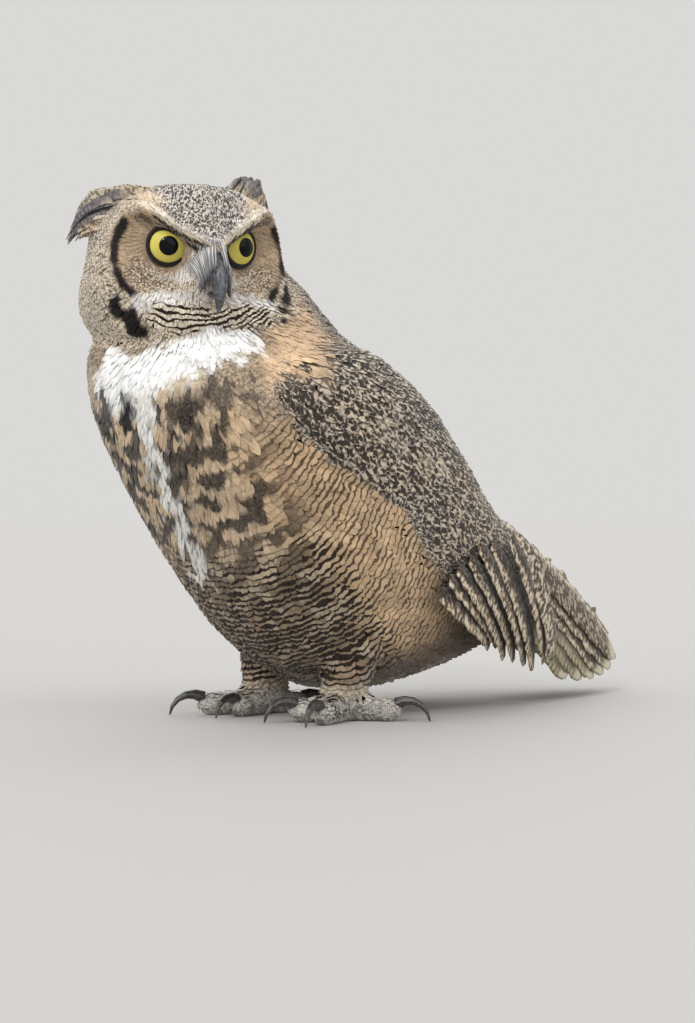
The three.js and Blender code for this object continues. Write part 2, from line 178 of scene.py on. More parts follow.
STATIONS = (
    Station((-126, 262), (-36, 300), 40, -8),
    Station((-147, 231), (-5, 276), 62, -10),
    Station((-149, 207), (9, 251), 74, -3),
    Station((-139, 181), (46, 228), 87),
    Station((-121, 151), (81, 200), 90),
    Station((-96, 115), (104, 172), 90),
    Station((-67, 77), (130, 147), 85),
    Station((-34, 42), (160, 128), 76),
    Station((22, 17), (187, 113), 62),
    Station((90, 24), (212, 98), 48),
    Station((142, 38), (236, 84), 35),
    Station((184, 52), (254, 72), 20),
)


class BodyPlan:
    """Coordinates on the body: t from 0 at the nape to 1 at the tail, and an angle.

    The angle is -90 degrees down the breast, 0 at the side and 90 along the back, on both sides.
    """

    SQUARENESS = 2.2
    STEPS = 241

    def __init__(self, origin: Array) -> None:
        """Reads the stations.

        Args:
            origin: the floor point between the ankles.
        """
        rows = np.array([(s.lean, *s.front, *s.back, s.half_width) for s in STATIONS], float)
        self.t = np.linspace(0.0, 1.0, self.STEPS)
        fine = catmull_rom(rows, self.t)
        self.front = fine[:, [0, 1, 2]] + origin
        self.back = fine[:, [0, 3, 4]] + origin
        self.half_width = fine[:, 5]
        self.half = (self.back - self.front) / 2
        self.middle = (self.back + self.front) / 2
        self.normal = unit(np.cross(self.half, [1.0, 0.0, 0.0]))
        tailward = np.gradient(self.middle, axis=0)
        self.normal *= np.sign((self.normal * tailward).sum(axis=1))[:, None]

    def _read(self, table: Array, t: Array) -> Array:
        """A table of the plan's steps, read at t.

        Args:
            table: one value or one row of values for each step.
            t: where to read it.

        Returns:
            The values at each t.
        """
        if table.ndim == 1:
            return np.interp(t, self.t, table)
        return np.stack([np.interp(t, self.t, column) for column in table.T], axis=1)

    def _beyond(self, points: Array, step: Array) -> Array:
        """How far each point lies beyond the section of its step."""
        return ((points - self.front[step]) * self.normal[step]).sum(axis=1)

    def locate(self, points: Array) -> tuple[Array, Array]:
        """Finds where points are on the body.

        Args:
            points: points of the frame.

        Returns:
            Their t, and their angle in degrees.
        """
        behind = points @ self.normal.T - (self.front * self.normal).sum(axis=1) < 0
        k = np.where(behind.any(axis=1), behind.argmax(axis=1), self.STEPS - 1)
        k = np.clip(k, 1, self.STEPS - 1)
        before, after = self._beyond(points, k - 1), self._beyond(points, k)
        share = np.clip(before / np.where(before - after > 1e-9, before - after, 1.0), 0, 1)
        t = (k - 1 + share) / (self.STEPS - 1)
        middle, half = self._read(self.middle, t), self._read(self.half, t)
        across = np.abs(points[:, 0] - middle[:, 0]) / self._read(self.half_width, t)
        through = ((points - middle) * half).sum(axis=1) / (half * half).sum(axis=1)
        power = self.SQUARENESS / 2
        angle = np.arctan2(np.sign(through) * np.abs(through) ** power, across**power)
        return t, np.degrees(angle)

    def point(self, t: float, angle: float, side: float = 1.0) -> Array:
        """A point of the body's surface.

        Args:
            t: how far from the nape to the tail.
            angle: its angle in degrees.
            side: 1 for the owl's left, -1 for its right.

        Returns:
            The point, in the frame.
        """
        at = np.array([t])
        c, s = math.cos(math.radians(angle)), math.sin(math.radians(angle))
        power = 2 / self.SQUARENESS
        across = side * abs(c) ** power * self._read(self.half_width, at)[0]
        through = math.copysign(abs(s) ** power, s) * self._read(self.half, at)[0]
        return self._read(self.middle, at)[0] + across * np.array([1.0, 0, 0]) + through

    def tailward(self, t: Array, angle: Array) -> Array:
        """The direction towards the tail.

        Args:
            t: how far along the body each place is.
            angle: its angle in degrees.

        Returns:
            A unit direction at each place.
        """
        step = 1.0 / (self.STEPS - 1)
        low = self._read(np.gradient(self.front, step, axis=0), t)
        high = self._read(np.gradient(self.back, step, axis=0), t)
        return unit(mix(low, high, (np.sin(np.radians(angle)) + 1) / 2))


# ---------------------------------------------------------------- the head's plan
@dataclass(frozen=True)
class HeadPlan:
    """The head in its own frame: x to the owl's right, y forward, z up."""

    half_width: float = 58.0
    jowl: float = 5.5
    front: float = 47.0
    back: float = 60.0
    up: float = 45.0
    down: float = 60.0
    eye_forward: float = 27.0
    eye_height: float = 5.5
    brow_inner: tuple[float, float] = (0.0, 0.5)
    brow_outer: tuple[float, float] = (45.0, 28.5)
    disc_radius: float = 39.0

    @property
    def eyes(self) -> tuple[Array, Array]:
        """The middles of the left and right eyes, in the frame's millimetres."""
        return centre_of("eye_left"), centre_of("eye_right")

    @property
    def axes(self) -> Array:
        """The head's own axes.

        Returns:
            Rows of right, forward and up.
        """
        left, right = self.eyes
        across = unit(right - left)
        return np.stack([across, np.cross(UP, across), UP])

    @property
    def origin(self) -> Array:
        """The head's middle."""
        middle = sum(self.eyes) / 2
        return middle - self.axes[1] * self.eye_forward - UP * self.eye_height

    @property
    def eye_apart(self) -> float:
        """The distance between the eyes' middles."""
        left, right = self.eyes
        return float(np.linalg.norm(right - left))

    def local(self, points: Array) -> Array:
        """Points of the frame in the head's own frame."""
        return (points - self.origin) @ self.axes.T

    def world(self, points: Array) -> Array:
        """Points of the head's own frame in the whole frame."""
        return points @ self.axes + self.origin

    def to_eye(self, x: Array, z: Array) -> Array:
        """The distance to the nearer eye's middle, seen from the front."""
        return np.hypot(np.abs(x) - self.eye_apart / 2, z - self.eye_height)

    def brow_line(self, x: Array) -> Array:
        """The height of the brows at a distance from the middle."""
        (x0, z0), (x1, z1) = self.brow_inner, self.brow_outer
        return np.interp(np.abs(x), (x0, x1, x1 + 15), (z0, z1, z1 + 3))

    def depth(self, x: Array, z: Array) -> Array:
        """How far forward the face stands: dished round each eye, with brows, rim and chin.

        Args:
            x: places across the face.
            z: places up it.

        Returns:
            The y of the face at each place.
        """
        (x0, z0), (x1, z1) = self.brow_inner, self.brow_outer
        across = columns(np.abs(x), z)
        brow = to_segments(across, np.array([(x0, z0), (x1, z1)]))
        to_eye = self.to_eye(x, z)
        return (
            49
            - 0.4 * np.hypot(x, 6)
            - 4 * bell(to_eye, 15)
            + 9 * bell(brow, 6.5)
            + 10 * bell(x, 9) * bell(z + 5, 19)
            + 3.5 * bell(to_eye - self.disc_radius, 6) * (1 - smooth(z, 14, 30))
            - 3 * bell(x, 11) * bell(z + 32, 9)
            + 6 * bell(x, 30) * bell(z + 45, 11)
            - 0.5 * np.maximum(0, z - 22)
        )

    def _egg(self, toward: Array, low: Array, front: float) -> tuple[Array, Array]:
        """The rounded block that the head is shaped from.

        Args:
            toward: points, or directions, in the head's own frame.
            low: how far down each lies, 1 being the throat.
            front: the block's reach forward.

        Returns:
            The block's power and its three sizes, towards each point.
        """
        power = 2.5 + 0.8 * smooth(low, 0, 0.5)
        up = np.where(toward[:, 2] > 0, self.up, self.down)
        forward = np.where(toward[:, 1] > 0, front, self.back)
        width = self.half_width + self.jowl * smooth(low, -0.1, 0.4)
        return power, columns(width, forward, up)

    def inside(self, local: Array) -> Array:
        """How far out points lie: 1 on the head's surface, more outside it."""
        power, size = self._egg(local, -local[:, 2] / self.down, self.front + 6)
        return (np.abs(local / size) ** power[:, None]).sum(axis=1) ** (1 / power)

    def surface(self, rings: int, sides: int) -> tuple[Array, list[tuple[int, ...]]]:
        """The head's closed surface, from the tip of the face to the back of the skull.

        Args:
            rings: rows of points from front to back.
            sides: points in each row.

        Returns:
            The points, in the whole frame's millimetres, and the faces.
        """
        polar = np.linspace(0, math.pi, rings + 2)[1:-1]
        p, a = np.meshgrid(polar, turns(sides), indexing="ij")
        d = np.stack([np.sin(p) * np.cos(a), np.cos(p), np.sin(p) * np.sin(a)], axis=2)
        d = np.vstack([[[0, 1, 0]], d.reshape(-1, 3), [[0, -1, 0]]]).reshape(-1, 3)
        power, size = self._egg(d, -d[:, 2], self.front)
        d *= ((np.abs(d / size) ** power[:, None]).sum(axis=1) ** (-1 / power))[:, None]
        facing = smooth(d[:, 1], 6, 30)
        d[:, 1] += (self.depth(d[:, 0], d[:, 2]) - d[:, 1]) * facing
        return self.world(d), closed_faces(rings, sides, 1, 0, len(d) - 1)


def tube_faces(rings: int, sides: int, first: int = 0) -> list[tuple[int, ...]]:
    """The four-cornered faces between rings of points that follow one another.

    Args:
        rings: how many rings there are.
        sides: points in each ring.
        first: the first ring's first point.

    Returns:
        The corners of each face.
    """
    return [
        (
            first + r * sides + k,
            first + r * sides + (k + 1) % sides,
            first + (r + 1) * sides + (k + 1) % sides,
            first + (r + 1) * sides + k,
        )
        for r in range(rings - 1)
        for k in range(sides)
    ]


def closed_faces(rings: int, sides: int, first: int, start: int, end: int) -> list[tuple[int, ...]]:
    """The faces of a tube that narrows to a point at both ends.

    Args:
        rings: how many rings there are.
        sides: points in each ring.
        first: the first ring's first point.
        start: the point that the first ring closes on.
        end: the point that the last ring closes on.

    Returns:
        The corners of each face.
    """
    last = first + (rings - 1) * sides
    faces = tube_faces(rings, sides, first)
    faces += [(start, first + (k + 1) % sides, first + k) for k in range(sides)]
    faces += [(end, last + k, last + (k + 1) % sides) for k in range(sides)]
    return faces


# ---------------------------------------------------------------- surfaces
def read_mesh(mesh: bpy.types.Mesh) -> tuple[Array, Array]:
    """Reads a mesh.

    Args:
        mesh: the mesh.

    Returns:
        Its points, in metres, and its triangles.
    """
    mesh.calc_loop_triangles()
    points = np.zeros(len(mesh.vertices) * 3)
    mesh.vertices.foreach_get("co", points)
    triangles = np.zeros(len(mesh.loop_triangles) * 3, int)
    mesh.loop_triangles.foreach_get("vertices", triangles)
    return points.reshape(-1, 3), triangles.reshape(-1, 3)


def node_arrays(node: str, swell: float) -> tuple[Array, Array]:
    """A CAD node's points and triangles in millimetres, its split corners merged.

    Args:
        node: the node's name.
        swell: how far its surface is moved outwards, so that touching pieces join.

    Returns:
        The points and the triangles.
    """
    points, triangles = read_mesh(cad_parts[node].data)
    merged, index = np.unique(points.round(7), axis=0, return_inverse=True)
    merged, triangles = merged / MM, index.reshape(-1)[triangles]
    return merged + swell * corner_normals(merged, triangles), triangles


def corner_normals(points: Array, triangles: Array) -> Array:
    """The outward direction at each point, from the triangles round it."""
    a, b, c = (points[triangles[:, k]] for k in range(3))
    return unit(at_corners(triangles, np.cross(b - a, c - a), len(points)))


def at_corners(triangles: Array, values: Array, count: int) -> Array:
    """Adds each triangle's row of values to its three corners.

    Args:
        triangles: the three points of each triangle.
        values: three numbers for each triangle.
        count: how many points there are.

    Returns:
        The sum at each point.
    """
    total = np.zeros((count, 3))
    for k in range(3):
        for axis in range(3):
            total[:, axis] += np.bincount(triangles[:, k], values[:, axis], count)
    return total


def make_mesh(name: str, points: Array, faces: Sequence[Sequence[int]]) -> Piece:
    """Makes a smooth-shaded mesh object.

    Args:
        name: its name.
        points: its points, in millimetres.
        faces: the corners of each face.

    Returns:
        The object, linked to the scene.
    """
    mesh = bpy.data.meshes.new(name)
    mesh.from_pydata((points * MM).tolist(), [], [tuple(map(int, f)) for f in faces])
    mesh.shade_smooth()
    piece = bpy.data.objects.new(name, mesh)
    bpy.context.scene.collection.objects.link(piece)
    return piece


def remeshed(parts: Sequence[tuple[Array, Sequence]], voxel: float) -> tuple[Array, Array]:
    """Joins closed parts into one even surface.

    Args:
        parts: points in millimetres and faces of each part.
        voxel: the new surface's spacing in millimetres.

    Returns:
        The points and triangles of the joined surface.
    """
    count = 0
    all_faces: list[Array] = []
    for points, faces in parts:
        all_faces += [np.asarray(face) + count for face in faces]
        count += len(points)
    rough = make_mesh("rough", np.vstack([points for points, _ in parts]), all_faces)
    modifier = rough.modifiers.new("even", "REMESH")
    modifier.mode, modifier.voxel_size = "VOXEL", voxel * MM
    even = rough.evaluated_get(bpy.context.evaluated_depsgraph_get()).to_mesh()
    points, triangles = read_mesh(even)
    mesh = rough.data
    bpy.data.objects.remove(rough)
    bpy.data.meshes.remove(mesh)
    return points / MM, triangles


class Surface:
    """A triangle surface that values can be spread over, read from and projected on."""

    def __init__(self, points: Array, triangles: Array) -> None:
        """Keeps the surface and works out its edges, normals and search tree.

        Args:
            points: its points.
            triangles: the three points of each triangle.
        """
        self.points, self.triangles = points, triangles
        pairs = np.vstack([triangles[:, [0, 1]], triangles[:, [1, 2]], triangles[:, [2, 0]]])
        self.edges = np.unique(np.sort(pairs, axis=1), axis=0)
        self.degree = np.bincount(self.edges.ravel(), minlength=len(points))
        self.refresh()

    def refresh(self) -> None:
        """Works out the normals and the search tree again after the points have moved."""
        self.normals = corner_normals(self.points, self.triangles)
        self.tree = BVHTree.FromPolygons(self.points.tolist(), self.triangles.tolist())

    def gather(self, edge_values: Array, signed: bool = False) -> Array:
        """Adds each edge's value to both of its ends.

        Args:
            edge_values: a value for each edge.
            signed: whether the edge's first end loses the value instead.

        Returns:
            The sum at each point.
        """
        start, end = self.edges.T
        first = np.bincount(start, edge_values, len(self.points))
        second = np.bincount(end, edge_values, len(self.points))
        return second - first if signed else second + first

    def spread(self, values: Array, times: int, share: float = 0.5) -> Array:
        """Evens values out between neighbours.

        Args:
            values: a value or a row of values for each point.
            times: how often.
            share: how far each step goes towards the neighbours' average.

        Returns:
            The evened values.
        """
        start, end = self.edges.T
        table = values[:, None] if values.ndim == 1 else values
        for _ in range(times):
            near = [
                np.bincount(start, c[end], len(c)) + np.bincount(end, c[start], len(c))
                for c in table.T
            ]
            average = np.stack(near, axis=1) / self.degree[:, None]
            table = table + share * (average - table)
        return table[:, 0] if values.ndim == 1 else table

    def tangent(self, directions: Array) -> Array:
        """Directions at the points, laid into the surface."""
        off = (directions * self.normals).sum(axis=1, keepdims=True)
        return unit(directions - off * self.normals)

    def potential(self, directions: Array, rounds: int) -> Array:
        """Finds the height whose slope follows the directions best, by conjugate gradients.

        Args:
            directions: a unit direction at each point.
            rounds: how many steps to take.

        Returns:
            The height at each point, in millimetres along the directions.
        """
        start, end = self.edges.T
        step = self.points[end] - self.points[start]
        wanted = ((directions[start] + directions[end]) / 2 * step).sum(axis=1)
        height = self.points @ np.array([0.0, 0.6, -0.8])
        rest = self.gather(wanted - (height[end] - height[start]), signed=True)
        scaled = rest / self.degree
        move, product = scaled.copy(), rest @ scaled
        for _ in range(rounds):
            bent = self.gather(move[end] - move[start], signed=True)
            size = product / (move @ bent)
            height += size * move
            rest -= size * bent
            scaled = rest / self.degree
            product, before = rest @ scaled, product
            move = scaled + product / before * move
        return height

    def slope(self, height: Array) -> Array:
        """The direction in which a height grows fastest.

        Args:
            height: a height for each point.

        Returns:
            A unit direction in the surface at each point.
        """
        a, b, c = (self.points[self.triangles[:, k]] for k in range(3))
        flat = np.cross(b - a, c - a)
        size = np.maximum((flat**2).sum(axis=1, keepdims=True), 1e-9)
        ha, hb, hc = (height[self.triangles[:, k]][:, None] for k in range(3))
        across = ha * np.cross(flat, c - b) + hb * np.cross(flat, a - c) + hc * np.cross(flat, b - a)
        total = at_corners(self.triangles, across / size, len(self.points))
        return self.tangent(self.spread(total, 4))

    def project(self, points: Array) -> tuple[Array, Array]:
        """Finds the nearest places on the surface.

        Args:
            points: points near it.

        Returns:
            The nearest place to each point, and the triangle that it is in.
        """
        shape = points.shape
        found = [self.tree.find_nearest(p) for p in points.reshape(-1, 3).tolist()]
        where = np.array([hit[0] for hit in found]).reshape(shape)
        return where, np.array([hit[2] for hit in found]).reshape(shape[:-1])

    def weights(self, where: Array, triangle: Array) -> Array:
        """How much each corner of its triangle counts at a place.

        Args:
            where: places on the surface.
            triangle: the triangle that each is in.

        Returns:
            Three weights for each place.
        """
        a, b, c = (self.points[self.triangles[triangle, k]] for k in range(3))
        flat = np.cross(b - a, c - a)
        size = np.maximum((flat**2).sum(axis=-1), 1e-12)
        u = (np.cross(c - b, where - b) * flat).sum(axis=-1) / size
        v = (np.cross(a - c, where - c) * flat).sum(axis=-1) / size
        return np.stack([u, v, 1 - u - v], axis=-1)

    def read(self, values: Array, triangle: Array, weights: Array) -> Array:
        """Reads the points' values inside triangles.

        Args:
            values: a value or a row of values for each point.
            triangle: the triangle of each place.
            weights: the weights of its corners.

        Returns:
            The values at each place.
        """
        corners = values[self.triangles[triangle]]
        if values.ndim == 1:
            return (corners * weights).sum(axis=-1)
        return (corners * weights[..., None]).sum(axis=-2)


# ---------------------------------------------------------------- tracts of plumage
@dataclass(frozen=True)
class Tract:
    """The feathers of one part of the bird, in millimetres.

    spacing is between roots, depth is how far the roots lie under the coat's surface, lift is
    how far the tips stand off it, and point is 0 for a round tip and 1 for a sharp one.
    """

    length: float
    width: float
    depth: float
    spacing: float
    lift: float = 0.3
    point: float = 0.0
    yaw: float = 7.0


class Region(Enum):
    """Where each kind of feather grows."""

    DISC = Tract(8.5, 1.9, 1.2, 1.5, 0.0, 0.7, 5)
    LORE = Tract(8.0, 1.3, 1.4, 1.5, 0.5, 1.0, 12)
    CHIN = Tract(8.5, 2.2, 2.2, 1.8, 0.4, 0.7, 9)
    CROWN = Tract(7.5, 2.9, 2.0, 2.0, 0.2, 0.4, 12)
    CHEEK = Tract(11.0, 3.8, 2.6, 2.4, 0.4, 0.5, 12)
    RUFF = Tract(16.0, 4.6, 2.8, 2.6, 0.3, 0.6, 8)
    BIB = Tract(17.0, 4.4, 2.0, 2.0, 0.1, 0.6, 6)
    BREAST = Tract(21.0, 5.2, 4.2, 2.8, 0.4, 0.8, 13)
    FLANK = Tract(24.0, 7.0, 5.0, 3.6, 0.3, 0.5, 6)
    BELLY = Tract(22.0, 6.4, 5.0, 3.4, 0.4, 0.6, 8)
    VENT = Tract(22.0, 6.0, 6.0, 3.9, 0.5, 0.6, 9)
    BACK = Tract(21.0, 8.5, 5.0, 4.0, 0.5, 0.3, 9)
    WING = Tract(22.0, 8.5, 6.0, 4.0, 0.5, 0.25, 8)
    RUMP = Tract(36.0, 11.0, 4.5, 5.4, 0.5, 0.2, 5)
    LEG = Tract(12.0, 3.2, 4.0, 2.6, 0.5, 0.7, 9)
    TOE = Tract(6.5, 1.8, 1.4, 1.8, 0.2, 0.6, 10)


REGIONS = list(Region)


@dataclass(frozen=True)
class WingPlan:
    """Where the folded wing lies on the body, and how far it stands off it."""

    thickness: float = 11.0
    start: float = 0.13
    end: float = 0.82
    lower: tuple[float, ...] = (-4, -30, -27, -8, -8, -14, -18)
    upper: tuple[float, ...] = (24, 56, 72, 80, 83, 85, 86)

    def across(self, t: Array, angle: Array) -> tuple[Array, Array]:
        """Places on the wing.

        Args:
            t: how far along the body each place is.
            angle: its angle in degrees.

        Returns:
            How far along the wing, from wrist to rump, and across it, from edge to back.
        """
        u = (t - self.start) / (self.end - self.start)
        knots = np.linspace(0, 1, len(self.lower))
        low = np.interp(u, knots, self.lower)
        high = np.interp(u, knots, self.upper)
        return u, (angle - low) / (high - low)

    def rise(self, t: Array, angle: Array) -> Array:
        """How far the wing's surface stands off the body.

        Args:
            t: how far along the body each place is.
            angle: its angle in degrees.

        Returns:
            The height in millimetres.
        """
        u, v = self.across(t, angle)
        u_in, v_in = np.clip(u, 0, 1), np.clip(v, 0, 1)
        lengthwise = np.minimum(smooth(u_in, 0, 0.16), 1.35 - 0.7 * u_in)
        crosswise = (1 - (1 - v_in) ** 5) * (1 - v_in**4)
        height = np.maximum(-3 + (self.thickness + 3) * lengthwise * crosswise, 0)
        return np.where((u > 0) & (u < 1) & (v > 0) & (v < 1), height, 0.0)


@dataclass
class Place:
    """Places on the bird: where they are on the head, the body and the limbs."""

    points: Array
    t: Array
    angle: Array
    head: Array
    leg: Array
    wing: Array
    tail: Array
    plan: HeadPlan
    home: Array

    @property
    def local(self) -> Array:
        """The points in the head's own frame."""
        return self.plan.local(self.points)

    @property
    def side(self) -> Array:
        """1 on the owl's left and -1 on its right."""
        return np.where(self.points[:, 0] >= 0, 1.0, -1.0)


class Form:
    """The plumage's outer surface, with the place, tract and lie of the coat all over it."""

    VOXEL = 2.1
    SOFT = ("trunk", "neck", "leg_left", "leg_right", "foot_left", "foot_right")
    SWELL = 0.6
    SWIRL = 42.0
    # the middle of the eyes and the ankles' y in the body's plan, and how far toes reach
    EYES_AT = (23.03, -106.11, 296.5)
    ANKLE_Y = 6.0
    TOE_REACH = 62.0
    # how far the body's end is drawn in under the tail, and where its coverts start
    TUCK = 9.0
    RUMP_Y = 236.0
    CONE = ((-2.0, 205.0, 86.0), (-2.0, 288.0, 42.0))
    CONE_RINGS = 9
    CONE_SIDES = 20

    def __init__(self) -> None:
        """Joins the soft solids, raises the wings and combs the coat."""
        self.head = HeadPlan()
        self.origin = sum(self.head.eyes) / 2 - np.array(self.EYES_AT)
        ankle_y = self.origin[1] + self.ANKLE_Y
        sides = [centre_of(f"leg_{word}")[0] for word in ("left", "right")]
        self.ankles = [np.array([x, ankle_y, 0.0]) for x in sides]
        self.plan = BodyPlan(self.origin)
        self.wing = WingPlan()
        parts = [node_arrays(node, self.SWELL) for node in self.SOFT]
        parts += [self.head.surface(150, 180), self._tail_root()]
        self.surface = Surface(*remeshed(parts, self.VOXEL))
        self.surface.points = self.surface.spread(self.surface.points, 5)
        self.surface.refresh()
        self._place()
        raised = self.wing.rise(self.place.t, self.place.angle) * (1 - self.place.head)
        raised *= (1 - self.place.leg) * (1 - self.place.tail)
        raised -= self.TUCK * smooth(self.place.t, 0.86, 0.94) * smooth(self.place.angle, -50, -15)
        raised = self.surface.spread(raised, 2)
        self.surface.points += self.surface.normals * raised[:, None]
        self.surface.points[:, 2] = np.maximum(self.surface.points[:, 2], 0.0)
        self._sockets()
        self.surface.refresh()
        self.place.points = self.place.home = self.surface.points
        self.place.wing = smooth(raised, 0.2, 3.0)
        self.region = self._regions()
        self.flow = self.surface.potential(self._directions(), 700)
        self.lie = self.surface.slope(self.flow)
        self.depth = self._depths()

    def _tail_root(self) -> tuple[Array, list[tuple[int, ...]]]:
        """The cone of coverts that wraps the tail's root.

        Returns:
            Its points and faces.
        """
        root, tip = (self.origin + place for place in self.CONE)
        along = unit(tip - root)
        lift = np.cross([1.0, 0, 0], along)
        turn = turns(self.CONE_SIDES)[:, None]
        rings = []
        for u in np.linspace(0, 1, self.CONE_RINGS):
            across = np.cos(turn) * np.array([1.0, 0, 0]) * (22 - 13 * u)
            rings.append(root + (tip - root) * u + across + np.sin(turn) * lift * (18 - 14 * u))
        points = np.vstack([*rings, rings[0].mean(axis=0), rings[-1].mean(axis=0)])
        end = len(points) - 1
        return points, closed_faces(self.CONE_RINGS, self.CONE_SIDES, 0, end - 1, end)

    def _place(self) -> None:
        """Works out where each point of the surface is on the bird."""
        points = self.surface.points
        t, angle = self.plan.locate(points)
        outward = self.head.inside(self.head.local(points))
        head = 1 - smooth(outward, 1.03, 1.12)
        reach = np.min([np.hypot(*(points - a)[:, :2].T) for a in self.ankles], axis=0)
        leg = (1 - smooth(points[:, 2], 19, 27)) * (reach < self.TOE_REACH)
        beyond = points[:, 1] - (self.origin[1] + self.RUMP_Y)
        tail = smooth(beyond, 0, 12)
        self.place = Place(points, t, angle, head, leg, np.zeros(len(points)), tail, self.head, points)

    def _sockets(self) -> None:
        """Presses the face in round each eye, so that it comes out from under the lid's rim."""
        points = self.surface.points
        x, _, z = self.head.local(points).T
        free = smooth(z - self.head.brow_line(x), -3.5, 0)
        for middle, axis in zip(self.head.eyes, Eyes.axes(self.head)):
            out = points - middle
            far = np.linalg.norm(out, axis=1)
            polar = np.degrees(np.arccos(np.clip(out @ axis / np.maximum(far, 1e-6), -1, 1)))
            limit = np.interp(polar, (0, 50, 58, 70, 85), (12.5, 12.5, 14.2, 16, 30))
            wanted = np.minimum(far, limit + 30 * free)
            wanted[(far > 30) | (polar > 85)] = far[(far > 30) | (polar > 85)]
            points += out * (wanted / np.maximum(far, 1e-6) - 1)[:, None]

    def _regions(self) -> Array:
        """The index of each point's region.

        Returns:
            A place in REGIONS for each point.
        """
        p = self.place
        x, y, z = p.local.T
        to_eye = self.head.to_eye(x, z)
        brow = self.head.brow_line(x)
        label = np.full(len(x), REGIONS.index(Region.BREAST))
        _, v = self.wing.across(p.t, p.angle)

        def put(region: Region, where: Array) -> None:
            """Gives a region to the points that a test picks."""
            label[where] = REGIONS.index(region)

        put(Region.BACK, p.angle > 30)
        put(Region.FLANK, (p.angle < 30) & (p.angle > -62) & (p.t > 0.27))
        put(Region.BELLY, (p.angle < -48) & (p.t > 0.44))
        put(Region.BELLY, (p.angle < -20) & (p.t > 0.62))
        put(Region.BIB, (p.angle < 8) & (p.t < 0.215))
        put(Region.RUFF, (p.t < 0.16) & (p.angle > 8))
        put(Region.VENT, (p.t > 0.71) & (p.angle < 10))
        put(Region.WING, (p.wing > 0.3) & (v > 0) & (v < 1))
        put(Region.RUMP, (p.tail > 0.3) | ((p.t > 0.86) & (p.angle > 10)))
        put(Region.VENT, (p.tail > 0.3) & (self.surface.normals[:, 2] < -0.3))
        on_head = p.head > 0.5
        put(Region.CHEEK, on_head)
        put(Region.CROWN, on_head & (z > brow - 4) & (y > -38))
        put(Region.DISC, on_head & (y > 16) & (to_eye < 37) & (z < brow - 4))
        put(Region.CHIN, on_head & (y > 12) & (z < -24) & (np.abs(x) < 44))
        put(Region.LORE, on_head & (y > 34) & (np.abs(x) < 14) & (z < 2) & (z > -24))
        put(Region.LEG, p.leg > 0.3)
        put(Region.TOE, (p.leg > 0.5) & (p.points[:, 2] < 15))
        return label

    def _directions(self) -> Array:
        """The lie of the coat as it is wanted in each part, before it is evened out.

        Returns:
            A unit direction at each point.
        """
        p, normals = self.place, self.surface.normals
        x, y, z = p.local.T
        side_eye = np.sign(x) * self.head.eye_apart / 2
        from_eye = columns(x - side_eye, np.zeros_like(x), z - self.head.eye_height)
        from_bill = columns(x, y - 66, z + 4)
        nape = columns(0 * x, np.full_like(x, -0.35), np.full_like(x, -1.0))
        radial = smooth(y, 10, 26) * (1 - smooth(self.head.to_eye(x, z), 30, 44))
        radial *= 1 - 0.8 * bell(x, 9)
        on_head = mix(unit(from_bill), nape, smooth(-y, -16, 30))
        on_head = mix(on_head, unit(from_eye), radial)
        on_head = self.surface.tangent(on_head @ self.head.axes)
        tailward = self.surface.tangent(self.plan.tailward(p.t, p.angle))
        upward = np.cross(normals, tailward) * p.side[:, None]
        swirl = np.radians(self.SWIRL) * bell(p.angle + 12, 34) * smooth(p.t, 0.2, 0.34)
        swirl *= 1 - smooth(p.t, 0.5, 0.72)
        swirl = np.where(p.wing > 0.3, 0.25 * swirl, swirl)
        swirl -= np.radians(20) * bell(p.angle + 48, 20) * smooth(p.t, 0.5, 0.7)
        on_body = np.cos(swirl)[:, None] * tailward + np.sin(swirl)[:, None] * upward
        wanted = mix(on_body, on_head, p.head)
        nearest = np.argmin([np.hypot(*(p.points - a)[:, :2].T) for a in self.ankles], axis=0)
        outward = p.points - np.array(self.ankles)[nearest]
        outward[:, 2] = 0
        down = np.broadcast_to(-UP, outward.shape)
        toeward = mix(down, unit(outward), smooth(-p.points[:, 2], -17, -12))
        wanted = mix(wanted, toeward, p.leg)
        return self.surface.tangent(self.surface.spread(self.surface.tangent(wanted), 6))

    def _depths(self) -> Array:
        """How far under the coat's surface the skin lies.

        Returns:
            A depth in millimetres for each point.
        """
        depth = np.array([r.value.depth for r in REGIONS])[self.region]
        depth = self.surface.spread(depth, 12)
        sole = (self.surface.normals[:, 2] < -0.5) & (self.surface.points[:, 2] < 2)
        return np.where(sole, 0.0, depth)


# ---------------------------------------------------------------- markings
@dataclass(frozen=True)
class Dab:
    """A patch of colour on the plumage, near a path and with a soft, broken edge.

    The path runs in the head's own millimetres, or over the body as (t, round), where round is
    the angle from the middle of the breast in degrees, positive on the owl's left.
    """

    colour: str
    path: tuple[tuple[float, ...], ...]
    reach: float
    soft: float = 3.0
    strength: float = 1.0
    broken: float = 2.0
    bars: float = 0.0
    mottle: float = 0.0


def both(*dabs: Dab) -> tuple[Dab, ...]:
    """The dabs together with their mirror images across the head's middle plane."""
    mirrored = (replace(d, path=tuple((-x, y, z) for x, y, z in d.path)) for d in dabs)
    return (*dabs, *mirrored)


